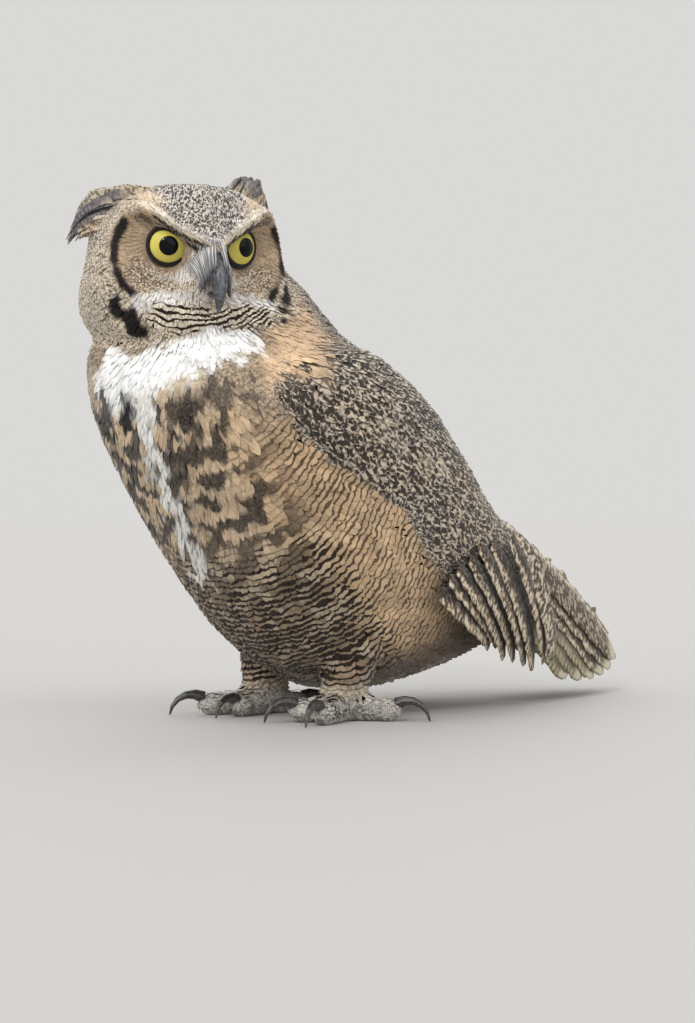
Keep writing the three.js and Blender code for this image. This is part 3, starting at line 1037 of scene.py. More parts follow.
FACE_DABS = both(
    # tawny facial discs, mottled brown on the cheeks
    Dab("#a68b6b", ((24, 40, 5), (36, 36, 2)), 25, 4, 1, 1, 0, 0.12),
    Dab("#927b60", ((30, 38, -15), (40, 35, -13)), 10, 5, 0.9, 1, 0, 0.85),
    # white on the bill side of the eyes and under them
    Dab(
        "#d9d7d3", ((6, 50, 0), (9, 48, -8), (15, 45, -14), (22, 43, -15), (30, 41, -13)), 5, 4, 1, 1, 0, 0.1
    ),
    Dab("#a9a8a7", ((4, 55, 1), (6, 53, -9), (10, 50, -17)), 3.6, 3, 0.8, 1, 0, 0.35),
    # the dark corner of each eye, towards the bill
    Dab("#1b1615", ((14, 46, 5), (10.5, 48, 2.5), (8.5, 50, 0)), 2.4, 1.0, 1, 0.4),
    # the black rim outside each disc
    Dab(
        "#1f1a19",
        ((49, 30, 17), (55, 26, 5), (54, 28, -9), (50, 31, -19), (44, 35, -27)),
        2.8, 1.3, 1, 1,
    ),
    # white from the chin out under the cheeks
    Dab("#dedad4", ((10, 50, -27), (24, 43, -28), (33, 39, -30), (42, 36, -33)), 5.4, 2.5, 1, 1.5, 0, 0.1),
)
CHIN_DABS = (
    Dab("#c9bbae", ((-13, 50, -25), (0, 52, -27), (13, 50, -25)), 5, 3, 0.9, 1),
    # chin of fine dark and cream bars, over the white throat
    Dab(
        "#ddcdb4",
        ((-35, 40, -40), (-16, 47, -41), (0, 49, -42), (16, 47, -41), (29, 43, -40)),
        8.5, 3, 1, 2, 0.8, 0.1,
    ),
    # the dark patches beside the throat
    Dab("#1a1513", ((52, 28, -34), (47, 31, -41), (41, 34, -48)), 5.5, 2, 1, 2.5),
    Dab("#1a1513", ((-55, 27, -19), (-55, 30, -29), (-51, 35, -39)), 4.5, 2, 1, 2.5),
)
BROW_DABS = both(
    # the pale line of the brows, from the bill out to the tufts
    Dab("#d9ccb8", ((1, 57, 2), (14, 48, 9), (26, 42, 19), (38, 36, 29)), 3.0, 1.8, 1, 1.4, 0, 0.15),
    # a darker brown strip just under the pale line, over the eye: painted shade under the brow
    Dab("#4b3a2c", ((24, 42, 12), (32, 38, 17), (41, 33, 22)), 2.6, 1.6, 0.85, 1, 0, 0.4),
)

BODY_DABS = (
    # tawny sides of the neck and shoulder
    Dab("#d8b286", ((0.06, 100), (0.14, 100), (0.2, 84)), 20, 9, 0.95, 4, 0, 0.03),
    Dab("#c7a377", ((0.06, -96), (0.16, -88)), 24, 9, 0.9, 4, 0, 0.35),
    # the white bib, from under the left cheek down to the right of the breast
    Dab("#f4f3f0", ((0.10, 70), (0.12, 40), (0.15, 18), (0.18, -4)), 16, 4, 1, 4),
    Dab("#f4f3f0", ((0.13, 0), (0.17, -8), (0.195, 2)), 14, 4, 1, 4),
    # dark blotches of the upper breast
    Dab("#2b2320", ((0.205, -13), (0.225, -12), (0.27, -20)), 8, 3, 0.95, 5),
    Dab("#1f1a18", ((0.218, 1), (0.25, -1)), 6, 3, 1, 4),
    Dab("#38302c", ((0.215, 12), (0.235, 28)), 9, 3, 0.9, 8, 0, 0.1),
    Dab("#453b36", ((0.2, 48), (0.235, 58)), 7, 3, 0.85, 7, 0, 0.1),
    Dab("#332a26", ((0.29, 22), (0.34, 14)), 8, 3, 0.85, 8, 0, 0.1),
    Dab("#5c534c", ((0.245, 76), (0.285, 74)), 14, 4, 0.9, 5, 0, 0.9),
    # tawny between them
    Dab("#dcba8c", ((0.265, 46), (0.31, 44)), 8, 4, 0.9, 6, 0, 0.1),
    # the white streak down the middle
    Dab(
        "#efece6", ((0.2, 12), (0.225, 12), (0.265, 6), (0.325, 4), (0.39, 2), (0.5, -2)), 6.5, 4, 1, 5
    ),
    # pale spots along the wing
    Dab("#e0ccb0", ((0.33, 95), (0.355, 98)), 7, 4, 0.8, 5, 0, 0.25),
    Dab("#e0ccb0", ((0.395, 104), (0.415, 107)), 6, 4, 0.8, 5, 0, 0.25),
)


@dataclass
class Paint:
    """Colours and markings at places: linear ground colour, and strengths from 0 to 1."""

    ground: Array
    bars: Array
    mottle: Array
    centre: Array

    @classmethod
    def plain(cls, colour: str, count: int, bars: float, mottle: float) -> "Paint":
        """One colour, with one set of markings, at a number of places."""
        ground = np.tile(linear(colour), (count, 1))
        return cls(ground, np.full(count, bars), np.full(count, mottle), np.zeros(count))

    @property
    def marks(self) -> Array:
        """How barred, how mottled and how dark in the middle each place is."""
        return columns(self.bars, self.mottle, self.centre)

    def blend(
        self, where: Array, colour: str, bars: Optional[float] = None, mottle: Optional[float] = None
    ) -> None:
        """Lays a colour and its markings over a part.

        Args:
            where: how much of it each place takes, from 0 to 1.
            colour: the sRGB hex colour.
            bars: how barred it is, or None to leave that as it was.
            mottle: how mottled it is, or None to leave that as it was.
        """
        self.ground = mix(self.ground, linear(colour)[None, :], where)
        if bars is not None:
            self.bars = self.bars + (bars - self.bars) * where
        if mottle is not None:
            self.mottle = self.mottle + (mottle - self.mottle) * where


class Markings:
    """The owl's colours, as one set of rules for skin and feathers."""

    BLOTCH_MM = 9.5
    FADED = 0.2

    def __init__(self, form: Form) -> None:
        """Places the dabs on the bird.

        Args:
            form: the plumage's outer surface.
        """
        self.form = form
        world = form.head.world
        self.face_dabs = [(dab, world(np.array(dab.path, float))) for dab in FACE_DABS + CHIN_DABS]
        self.brow_dabs = [(dab, world(np.array(dab.path, float))) for dab in BROW_DABS]
        self.body_dabs = [(dab, self._over_body(dab)) for dab in BODY_DABS]

    def _over_body(self, dab: Dab) -> Array:
        """A body dab's path as points of the frame."""
        plan = self.form.plan
        return np.array([plan.point(t, abs(r) - 90, 1 if r >= 0 else -1) for t, r in dab.path])

    def paint(self, place: Place) -> Paint:
        """Works out the colours and markings at places on the bird.

        Args:
            place: the places.

        Returns:
            What each place is painted with.
        """
        count = len(place.points)
        paint = Paint.plain("#a58d70", count, 0.2, 0.4)
        self._body(paint, place)
        self._head(paint, place)
        self._limbs(paint, place)
        self._dabs(paint, place, self.body_dabs, 1 - place.head)
        on_head = smooth(place.head, 0.2, 0.6)
        self._dabs(paint, place, self.face_dabs, on_head)
        self._crown(paint, place)
        self._dabs(paint, place, self.brow_dabs, on_head)
        shade = 1 + 0.10 * wobble(place.points, 9, 31) + 0.08 * wobble(place.points, 30, 32)
        grey = paint.ground @ np.array([0.21, 0.72, 0.07])
        paint.ground = mix(paint.ground, grey[:, None], np.full(count, self.FADED)) * shade[:, None]
        paint.ground = np.clip(paint.ground * 1.06, 0, 0.95)
        return paint

    def _body(self, paint: Paint, place: Place) -> None:
        """Lays the colours of breast, flanks, belly, back and wings.

        Args:
            paint: what they are added to.
            place: the places that it covers.
        """
        t, angle, p = place.t, place.angle, place.points
        front = 1 - smooth(angle, -58, -30)
        upper = 1 - smooth(t, 0.42, 0.56)
        paint.blend(smooth(t, 0.1, 0.2) * upper * front, "#cfb795", 0.0, 0.2)
        flank = smooth(angle, -66, -46) * (1 - smooth(angle, 14, 30)) * smooth(t, 0.24, 0.34)
        paint.blend(flank, "#cda97b", 0.42, 0.02)
        belly = smooth(t, 0.42, 0.54) * (1 - smooth(angle, -46, -26))
        paint.blend(belly, "#957e60", 1.0, 0.02)
        # dark brown over the lower body below the sides, round the vent: painted shade under the body towards
        # the tail
        paint.blend(smooth(t, 0.66, 0.74) * (1 - smooth(angle, 0, 14)), "#5f4933", 0.3, 0.05)
        soft = 0.45 * place.home + 0.55 * p
        blotch = wobble(soft, self.BLOTCH_MM, 45) + 0.6 * wobble(soft, 5, 42)
        breast = smooth(t, 0.19, 0.23) * (1 - smooth(t, 0.42, 0.6)) * (1 - smooth(angle, -50, -28))
        paint.blend(smooth(blotch, -0.25, 0.25) * breast * 0.92, "#2a2320", 0.0, 0.1)
        paint.blend(smooth(-blotch, 0.3, 0.5) * breast * 0.7, "#cfae83", 0.0, 0.1)
        paint.blend(smooth(-blotch, 0.1, 0.4) * belly * 0.3, "#d9cab2")
        back = smooth(angle, 28, 44)
        wing = smooth(place.wing, 0.15, 0.5)
        upper = np.maximum(wing, back)
        paint.blend(upper, "#9a8c7c", 0, 1.0)
        paint.centre = paint.centre + (0.85 - paint.centre) * upper
        warm = wobble(p, 26, 43)
        paint.blend(upper * smooth(warm, 0.1, 0.6) * 0.5, "#b49b7b")
        paint.blend(upper * smooth(-warm, 0.1, 0.6) * 0.45, "#7a726b")
        rump = np.maximum(place.tail, smooth(t, 0.84, 0.9) * smooth(angle, 0, 14))
        paint.blend(rump, "#a3937e", 0.1, 0.9)

    def _head(self, paint: Paint, place: Place) -> None:
        """Lays the head's ground colours: mottled cream at the sides, greyer above.

        Args:
            paint: what they are added to.
            place: the places that it covers.
        """
        z = place.local[:, 2]
        paint.blend(place.head, "#cfbb9f", 0, 0.85)
        paint.blend(place.head * smooth(z, 22, 38), "#cdb795", 0, 0.6)

    def _crown(self, paint: Paint, place: Place) -> None:
        """Above the brows, lays a fine grey crown that narrows to the bill, framed in cream.

        Args:
            paint: what it is added to.
            place: the places that it covers.
        """
        x, y, z = place.local.T
        line = self.form.head.brow_line(x)
        above = smooth(z - line, -1, 3) * place.head
        back = smooth(y, -34, -8)
        paint.blend(above * back, "#d3b996", 0, 0.42)
        reach = np.abs(x) + 3 * wobble(place.points, 9, 33)
        grey = 1 - smooth(reach, 19 + 0.12 * z, 27 + 0.12 * z)
        crown = above * grey * smooth(y, -48, -20)
        paint.blend(crown, "#b3aeaa", 0, 1.0)
        paint.centre = paint.centre + (0.6 - paint.centre) * crown

    def _limbs(self, paint: Paint, place: Place) -> None:
        """Lays the colours of the feathered legs and toes.

        Args:
            paint: what they are added to.
            place: the places that it covers.
        """
        paint.blend(place.leg, "#b9a78f", 0.2, 0.35)
        toes = place.leg * (1 - smooth(place.points[:, 2], 12, 20))
        paint.blend(toes, "#a6a29d", 0.0, 0.5)

    def _dabs(self, paint: Paint, place: Place, dabs: Sequence[tuple[Dab, Array]], where: Array) -> None:
        """Lays dabs over their part of the bird.

        Args:
            paint: what they are added to.
            place: the places that it covers.
            dabs: the dabs, each with its path in the frame.
            where: how much each place takes of them.
        """
        # a feather of the body takes its colour mostly whole, those of the face in part
        share = 0.75 * (1 - place.head)[:, None]
        points = place.points + (place.home - place.points) * share
        ragged = wobble(points, 5, 51)
        for dab, path in dabs:
            near = to_segments(points, path) + dab.broken * ragged
            share = (1 - smooth(near, dab.reach - dab.soft, dab.reach + dab.soft)) * dab.strength
            paint.blend(share * where, dab.colour, dab.bars, dab.mottle)


# ---------------------------------------------------------------- finishes
class Graph:
    """A material's node graph."""

    def __init__(self, name: str) -> None:
        """Starts an empty material.

        Args:
            name: its name.
        """
        self.material = bpy.data.materials.new(name)
        self.material.use_nodes = True
        self.tree = self.material.node_tree
        self.tree.nodes.clear()

    def add(self, kind: str, inputs: dict, **settings: object) -> Node:
        """Adds a node, with its settings and with a value or a link for each input.

        Args:
            kind: the node's type, without its first word.
            inputs: by socket name or number, a value, an sRGB hex colour, an output to link,
                or a node whose first output in use is linked.
            settings: the node's own settings.

        Returns:
            The node.
        """
        node = self.tree.nodes.new("ShaderNode" + kind)
        for name, value in settings.items():
            setattr(node, name, value)
        for key, value in inputs.items():
            if isinstance(value, Node):
                value = next(output for output in value.outputs if output.enabled)
            if isinstance(value, Socket):
                self.tree.links.new(value, node.inputs[key])
            else:
                node.inputs[key].default_value = rgba(value) if isinstance(value, str) else value
        return node

    def stored(self, name: str) -> bpy.types.bpy_prop_collection:
        """The three parts of a vector that is stored on the mesh."""
        vector = self.add("Attribute", {}, attribute_name=name).outputs["Vector"]
        return self.add("SeparateXYZ", {0: vector}).outputs

    def finish(self, shader: Node) -> Material:
        """Joins the shader to the output."""
        self.add("OutputMaterial", {"Surface": shader.outputs[0]})
        return self.material


def rgba(hex_colour: str) -> tuple[float, float, float, float]:
    """A colour for a node's socket."""
    return (*linear(hex_colour), 1.0)


@dataclass(frozen=True)
class Plumage:
    """Contour feathers of keratin: matt, softly barbed, with ink-dark bars and fine mottling.

    Their barbs scatter light with no shine, so the eye reads depth from the markings and from
    the shadow between feathers.
    """

    name: str
    bar_mm: float = 4.3
    bar_share: float = 0.52
    fleck_mm: float = 1.5
    dark: str = "#2a1f17"
    fleck_dark: str = "#2b2521"
    fleck_pale: str = "#dccfbb"
    roughness: float = 0.85

    def material(self) -> Material:
        """Builds the material from the coat's attributes.

        Returns:
            The material.
        """
        g = Graph(self.name)
        marks, lie, vane = (g.stored(name) for name in ("marks", "lie", "vane"))
        bars = self._bars(g, marks[0], lie[0])
        flecks = self._flecks(g, marks[2], lie[1], vane)
        ground = g.add("Attribute", {}, attribute_name="ground")
        light = g.add("MapRange", {0: lie[1], 1: 0.0, 2: 1.0, 3: 0.84, 4: 1.14}, clamp=True)
        colour = g.add("VectorMath", {0: ground, 3: light}, operation="SCALE")
        for tint, edge, most in ((self.fleck_pale, 0.60, 0.8), (self.fleck_dark, 0.40, 0.95)):
            limits = {0: flecks, 1: 0.50, 2: edge, 3: 0.0, 4: most}
            share = g.add("MapRange", limits, interpolation_type="SMOOTHSTEP")
            share = g.add("Math", {0: share, 1: marks[1]}, operation="MULTIPLY", use_clamp=True)
            colour = g.add("Mix", {0: share, 6: colour, 7: tint}, data_type="RGBA")
        colour = g.add("Mix", {0: bars, 6: colour, 7: self.dark}, data_type="RGBA")
        barbs = g.add("Math", {0: vane[0]}, operation="ABSOLUTE")
        barbs = g.add("Math", {0: barbs, 1: -1.0, 2: vane[1]}, operation="MULTIPLY_ADD")
        barbs = g.add("Math", {0: barbs, 1: 0.4}, operation="PINGPONG")
        looks = {
            "Base Color": colour,
            "Normal": g.add("Bump", {"Height": barbs, "Strength": 0.4, "Distance": 0.0002}),
            "Roughness": self.roughness,
            "Specular IOR Level": 0.2,
            "Sheen Weight": 0.15,
            "Sheen Roughness": 0.5,
        }
        return g.finish(g.add("BsdfPrincipled", looks))

    def _bars(self, g: Graph, amount: Socket, flow: Socket) -> Node:
        """Bars across the lie of the coat, that waver and break up.

        Args:
            g: the material's graph.
            amount: how barred a place is.
            flow: how far along the lie of the coat it is, in millimetres.

        Returns:
            The node that gives the share of dark.
        """
        place = g.add("TexCoord", {}).outputs["Object"]
        wide, fine, broken = (
            g.add("TexNoise", {"Vector": place, "Scale": 1 / (size * MM), "Detail": detail})
            for size, detail in ((9.0, 1.0), (3.0, 1.0), (13.0, 0.0))
        )
        bent = g.add("Math", {0: wide, 1: 6.0, 2: flow}, operation="MULTIPLY_ADD")
        bent = g.add("Math", {0: fine, 1: 1.6, 2: bent}, operation="MULTIPLY_ADD")
        wave = g.add("Math", {0: bent, 1: self.bar_mm / 2}, operation="PINGPONG")
        edge = g.add("MapRange", {0: broken, 1: 0.3, 2: 0.62, 3: 0.6, 4: 1.4}, clamp=True)
        heavy = g.add("Math", {0: amount, 1: 0.7, 2: 0.45}, operation="MULTIPLY_ADD")
        limit = g.add("Math", {0: edge, 1: self.bar_mm / 2 * self.bar_share}, operation="MULTIPLY")
        limit = g.add("Math", {0: limit, 1: heavy}, operation="MULTIPLY")
        low = g.add("Math", {0: limit, 1: 0.5}, operation="MULTIPLY")
        limits = {0: wave, 1: limit, 2: low, 3: 0.0, 4: 2.0}
        bar = g.add("MapRange", limits, interpolation_type="SMOOTHSTEP")
        return g.add("Math", {0: bar, 1: amount}, operation="MULTIPLY", use_clamp=True)

    def _flecks(
        self, g: Graph, core: Socket, luck: Socket, vane: Sequence
    ) -> Node:
        """Fine mottling along each feather, different on each.

        Args:
            g: the material's graph.
            core: how dark the middle of the vane is.
            luck: the feather's own number.
            vane: places across and along the vane in millimetres, and across it from -1 to 1.

        Returns:
            The node that is low in a dark fleck and high in a pale one.
        """
        slim = g.add("Math", {0: vane[0], 1: 0.55}, operation="MULTIPLY")
        own = g.add("Math", {0: luck, 1: 90.0}, operation="MULTIPLY")
        place = g.add("CombineXYZ", {0: slim, 1: vane[1], 2: own})
        flecks = g.add("TexNoise", {"Vector": place, "Scale": 1 / self.fleck_mm, "Detail": 1.5})
        middle = g.add("Math", {0: vane[2]}, operation="ABSOLUTE")
        middle = g.add("MapRange", {0: middle, 1: 0.75, 2: 0.1, 3: -0.03, 4: 0.17}, clamp=True)
        middle = g.add("Math", {0: middle, 1: core}, operation="MULTIPLY")
        return g.add("Math", {0: flecks, 1: middle}, operation="SUBTRACT")


@dataclass(frozen=True)
class Cornea:
    """A living eye: wet, clear and smooth, so that it carries sharp bright reflections."""

    iris: str = "#dcd06a"
    iris_edge: str = "#a5983f"
    rim: str = "#15110f"
    pupil: str = "#060607"
    pupil_deg: float = 23.0
    iris_deg: float = 52.0

    def material(self) -> Material:
        """Rings of pupil, iris and rim by the angle from the eye's axis, under a wet coat.

        Returns:
            The material.
        """
        g = Graph("eye_wet_cornea")
        polar = g.stored("polar")[0]
        place = g.add("TexCoord", {}).outputs["Object"]
        streak = g.add("TexNoise", {"Vector": place, "Scale": 1 / (1.6 * MM), "Detail": 3.0})
        iris = g.add("Mix", {0: streak, 6: self.iris_edge, 7: self.iris}, data_type="RGBA")
        bright = g.add("MapRange", {0: polar, 1: 26.0, 2: 46.0, 3: 0.25, 4: 0.9})
        iris = g.add("Mix", {0: bright, 6: iris, 7: self.iris}, data_type="RGBA")
        inner = g.add("MapRange", {0: polar, 1: self.pupil_deg, 2: self.pupil_deg + 1.5})
        seen = g.add("Mix", {0: inner, 6: self.pupil, 7: iris}, data_type="RGBA")
        outer = g.add("MapRange", {0: polar, 1: self.iris_deg - 3, 2: self.iris_deg})
        looks = {
            "Base Color": g.add("Mix", {0: outer, 6: seen, 7: self.rim}, data_type="RGBA"),
            "Roughness": 0.4,
            "Specular IOR Level": 0.0,
            "Coat Weight": 1.0,
            "Coat IOR": 1.25,
            "Coat Roughness": 0.02,
        }
        return g.finish(g.add("BsdfPrincipled", looks))


@dataclass(frozen=True)
class Horn:
    """Keratin of bill and claws: grown, polished by use, dark with paler growth streaks."""

    name: str
    colour: str
    streak: str
    grain_mm: float = 3.0
    roughness: float = 0.38

    def material(self) -> Material:
        """Streaky horn with fine bump.

        Returns:
            The material.
        """
        g = Graph(self.name)
        place = g.add("TexCoord", {}).outputs["Object"]
        spread = {"Vector": place, "Scale": 1 / (self.grain_mm * MM), "Detail": 4.0, "Roughness": 0.6}
        share = g.add("MapRange", {0: g.add("TexNoise", spread), 1: 0.38, 2: 0.66})
        pits = g.add("TexNoise", {"Vector": place, "Scale": 1 / (0.6 * MM), "Detail": 2.0})
        looks = {
            "Base Color": g.add("Mix", {0: share, 6: self.colour, 7: self.streak}, data_type="RGBA"),
            "Roughness": self.roughness,
            "IOR": 1.54,
            "Normal": g.add("Bump", {"Height": pits, "Strength": 0.25, "Distance": 0.0003}),
            "Coat Weight": 0.15,
            "Coat Roughness": 0.2,
        }
        return g.finish(g.add("BsdfPrincipled", looks))


# ---------------------------------------------------------------- pieces
def give(piece: Piece, name: str, values: Array) -> None:
    """Stores a value on each point of a mesh.

    Args:
        piece: the mesh object.
        name: "ground" for a linear colour, or another name for a vector.
        values: three numbers for each point.
    """
    if name == "ground":
        layer = piece.data.attributes.new(name, "FLOAT_COLOR", "POINT")
        values = np.hstack([values, np.ones((len(values), 1))])
        layer.data.foreach_set("color", values.astype(np.float32).ravel())
        return
    layer = piece.data.attributes.new(name, "FLOAT_VECTOR", "POINT")
    layer.data.foreach_set("vector", values.astype(np.float32).ravel())


def dress(piece: Piece, finish: Material, slot: str, *nodes: str) -> None:
    """Gives a piece its finish, its body and the nodes that it stands for.

    Args:
        piece: the mesh object.
        finish: its material.
        slot: not used.
        nodes: the nodes that it replaces.
    """
    piece.data.materials.append(finish)
    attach(piece, "root")
    if nodes:
        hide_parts(*nodes)
    log.info("%s: %d faces", piece.name, len(piece.data.polygons))


# ---------------------------------------------------------------- skin
@dataclass(frozen=True)
class Lid:
    """The bare rim of skin round an eye, and how it is drawn to a corner towards the bill."""

    inner: float = 50.5
    outer: float = 64.0
    over: float = 1.0
    thick: float = 0.8
    hood: float = 19.0
    rise: float = 4.0
    corner: float = 20.0
    sides: int = 64
    rows: int = 9

    def shape(self, middle: Array, axis: Array, radius: float, bill_side: float) -> tuple[Array, list]:
        """Points and faces of the rim, a closed ring that lies over the eyeball.

        Args:
            middle: the eyeball's middle.
            axis: the direction in which it looks.
            radius: its radius.
            bill_side: 1 if the bill is on the ring's first side, -1 if it is on the other.

        Returns:
            The points, and the faces between them.
        """
        side = unit(np.cross(axis, UP)) * bill_side
        lift = unit(UP - (UP @ axis) * axis)
        turn = turns(self.sides)
        hooded = self.hood * np.maximum(np.sin(turn + 0.45), 0) ** 2
        hooded += self.rise * np.maximum(-np.sin(turn + 0.1), 0) ** 2
        drawn = self.corner * bell(np.degrees(np.angle(np.exp(1j * (turn + 0.1)))), 26)
        edge = np.radians(self.inner - hooded)
        outer = np.radians(self.outer - 0.6 * self.rise + drawn)
        rows = []
        for k in range(self.rows):
            u = k / (self.rows - 1)
            polar = edge + (outer - edge) * min(u * 1.6, 1.0)
            height = self.over + self.thick * math.sin(math.pi * min(u * 1.25 + 0.12, 1.0))
            if u > 0.8:
                height = -1.5
            ring = np.cos(turn)[:, None] * side + np.sin(turn)[:, None] * lift
            over = np.cos(polar)[:, None] * axis + np.sin(polar)[:, None] * ring
            rows.append(over * (radius + height))
        under = np.cos(edge)[:, None] * axis + np.sin(edge)[:, None] * ring
        rows.insert(0, under * (radius - 1.0))
        faces = tube_faces(len(rows), self.sides)
        last = (len(rows) - 1) * self.sides
        for k in range(self.sides):
            after = (k + 1) % self.sides
            faces.append((last + k, last + after, after, k))
        if bill_side < 0:
            faces = [face[::-1] for face in faces]
        return middle + np.vstack(rows), faces


class Skin:
    """One closed skin under the whole coat, from the crown to the soles."""

    LID_COLOUR = "#211a18"

    def __init__(self, form: Form, markings: Markings) -> None:
        """Makes the skin inside the form by the coat's depth, and unwraps it.

        Args:
            form: the plumage's outer surface.
            markings: the owl's colours.
        """
        self.form = form
        surface = form.surface
        inner = surface.points - surface.normals * form.depth[:, None]
        eased = Surface(inner, surface.triangles).spread(inner, 3)
        eased[:, 2] = np.maximum(eased[:, 2], 0.0)
        lids, faces = [], surface.triangles.tolist()
        count = len(eased)
        for middle, axis, bill in zip(form.head.eyes, Eyes.axes(form.head), (1.0, -1.0)):
            points, more = Lid().shape(middle, axis, Eyes.RADIUS, bill)
            faces += [tuple(k + count for k in face) for face in more]
            lids.append(points)
            count += len(points)
        rims = np.vstack(lids)
        points = np.vstack([eased, rims])
        self.piece = make_mesh("skin", points, faces)
        paint = markings.paint(form.place)
        none = np.zeros(len(rims))
        lid = np.tile(linear(self.LID_COLOUR), (len(rims), 1))
        bars, mottle, flow = (np.concatenate([v, none]) for v in (paint.bars, paint.mottle, form.flow))
        x, y, z = points.T
        # the skin takes the coat's colours at 0.8 of their brightness: painted shade where it shows between
        # the feathers
        give(self.piece, "ground", np.vstack([paint.ground * 0.8, lid]))
        give(self.piece, "marks", columns(bars, mottle, 0 * bars))
        give(self.piece, "lie", columns(flow, 0.5 + 0 * flow, 0 * flow))
        give(self.piece, "vane", columns(x, y + z, 0.5 + 0 * x))
        self.corners = self._unwrap()

    def _unwrap(self) -> Array:
        """Unwraps the skin over its own shape.

        Returns:
            The three corners in the map of each triangle of the form.
        """
        bpy.context.view_layer.objects.active = self.piece
        self.piece.select_set(True)
        self.piece.data.uv_layers.new(name="OFBake")
        bpy.ops.object.mode_set(mode="EDIT")
        bpy.ops.mesh.select_all(action="SELECT")
        bpy.ops.uv.smart_project(angle_limit=math.radians(66), island_margin=0.002)
        bpy.ops.object.mode_set(mode="OBJECT")
        self.piece.select_set(False)
        corners = np.zeros(len(self.piece.data.loops) * 2)
        self.piece.data.uv_layers["OFBake"].data.foreach_get("uv", corners)
        return corners[: len(self.form.surface.triangles) * 6].reshape(-1, 3, 2)


# ---------------------------------------------------------------- feathers
@dataclass
class Roots:
    """Where feathers grow: places on the form's surface, with their triangles and weights."""

    points: Array
    triangle: Array
    weights: Array
    region: Array

    def __len__(self) -> int:
        """How many there are."""
        return len(self.points)

    def pick(self, where: Array) -> "Roots":
        """Some of the roots."""
        return Roots(self.points[where], self.triangle[where], self.weights[where], self.region[where])


def scatter(form: Form, rng: np.random.Generator) -> Roots:
    """Spreads roots evenly over the form, each region at its own spacing.

    Args:
        form: the plumage's outer surface.
        rng: the source of random numbers.

    Returns:
        The roots.
    """
    surface = form.surface
    spacing = surface.spread(np.array([r.value.spacing for r in REGIONS])[form.region], 6)
    a, b, c = (surface.points[surface.triangles[:, k]] for k in range(3))
    area = np.linalg.norm(np.cross(b - a, c - a), axis=1) / 2
    gap = spacing[surface.triangles].mean(axis=1)
    need = np.cumsum(area / gap**2)
    count = int(need[-1] * 5)
    triangle = np.searchsorted(need, rng.uniform(0, need[-1], count))
    u, v = rng.uniform(size=(2, count))
    u, v = np.where(u + v > 1, 1 - u, u), np.where(u + v > 1, 1 - v, v)
    weights = columns(1 - u - v, u, v)
    points = surface.read(surface.points, triangle, weights)
    near = gap[triangle] * 0.86
    cell = float(near.max())
    grid: dict[tuple[int, int, int], list[int]] = {}
    kept: list[int] = []
    keys = np.floor(points / cell).astype(int).tolist()
    rows, reach = points.tolist(), near.tolist()
    around = [(i, j, k) for i in (-1, 0, 1) for j in (-1, 0, 1) for k in (-1, 0, 1)]
    for n in range(count):
        x, y, z = rows[n]
        i, j, k = keys[n]
        limit = reach[n] ** 2
        free = True
        for di, dj, dk in around:
            for m in grid.get((i + di, j + dj, k + dk), ()):
                other = rows[m]
                if (x - other[0]) ** 2 + (y - other[1]) ** 2 + (z - other[2]) ** 2 < limit:
                    free = False
                    break
            if not free:
                break
        if free:
            grid.setdefault((i, j, k), []).append(n)
            kept.append(n)
    pick = np.array(kept)
    corner = surface.triangles[triangle[pick], weights[pick].argmax(axis=1)]
    roots = Roots(points[pick], triangle[pick], weights[pick], form.region[corner])
    up = surface.read(surface.normals, roots.triangle, roots.weights)[:, 2]
    eyes = np.min([np.linalg.norm(roots.points - eye, axis=1) for eye in form.head.eyes], axis=0)
    t, angle = (surface.read(v, roots.triangle, roots.weights) for v in (form.place.t, form.place.angle))
    hidden = (up < -0.5) & (roots.points[:, 2] < 4)
    hidden |= (t > 0.91) & (angle > -5)
    return roots.pick(~hidden & (eyes > 15.3))


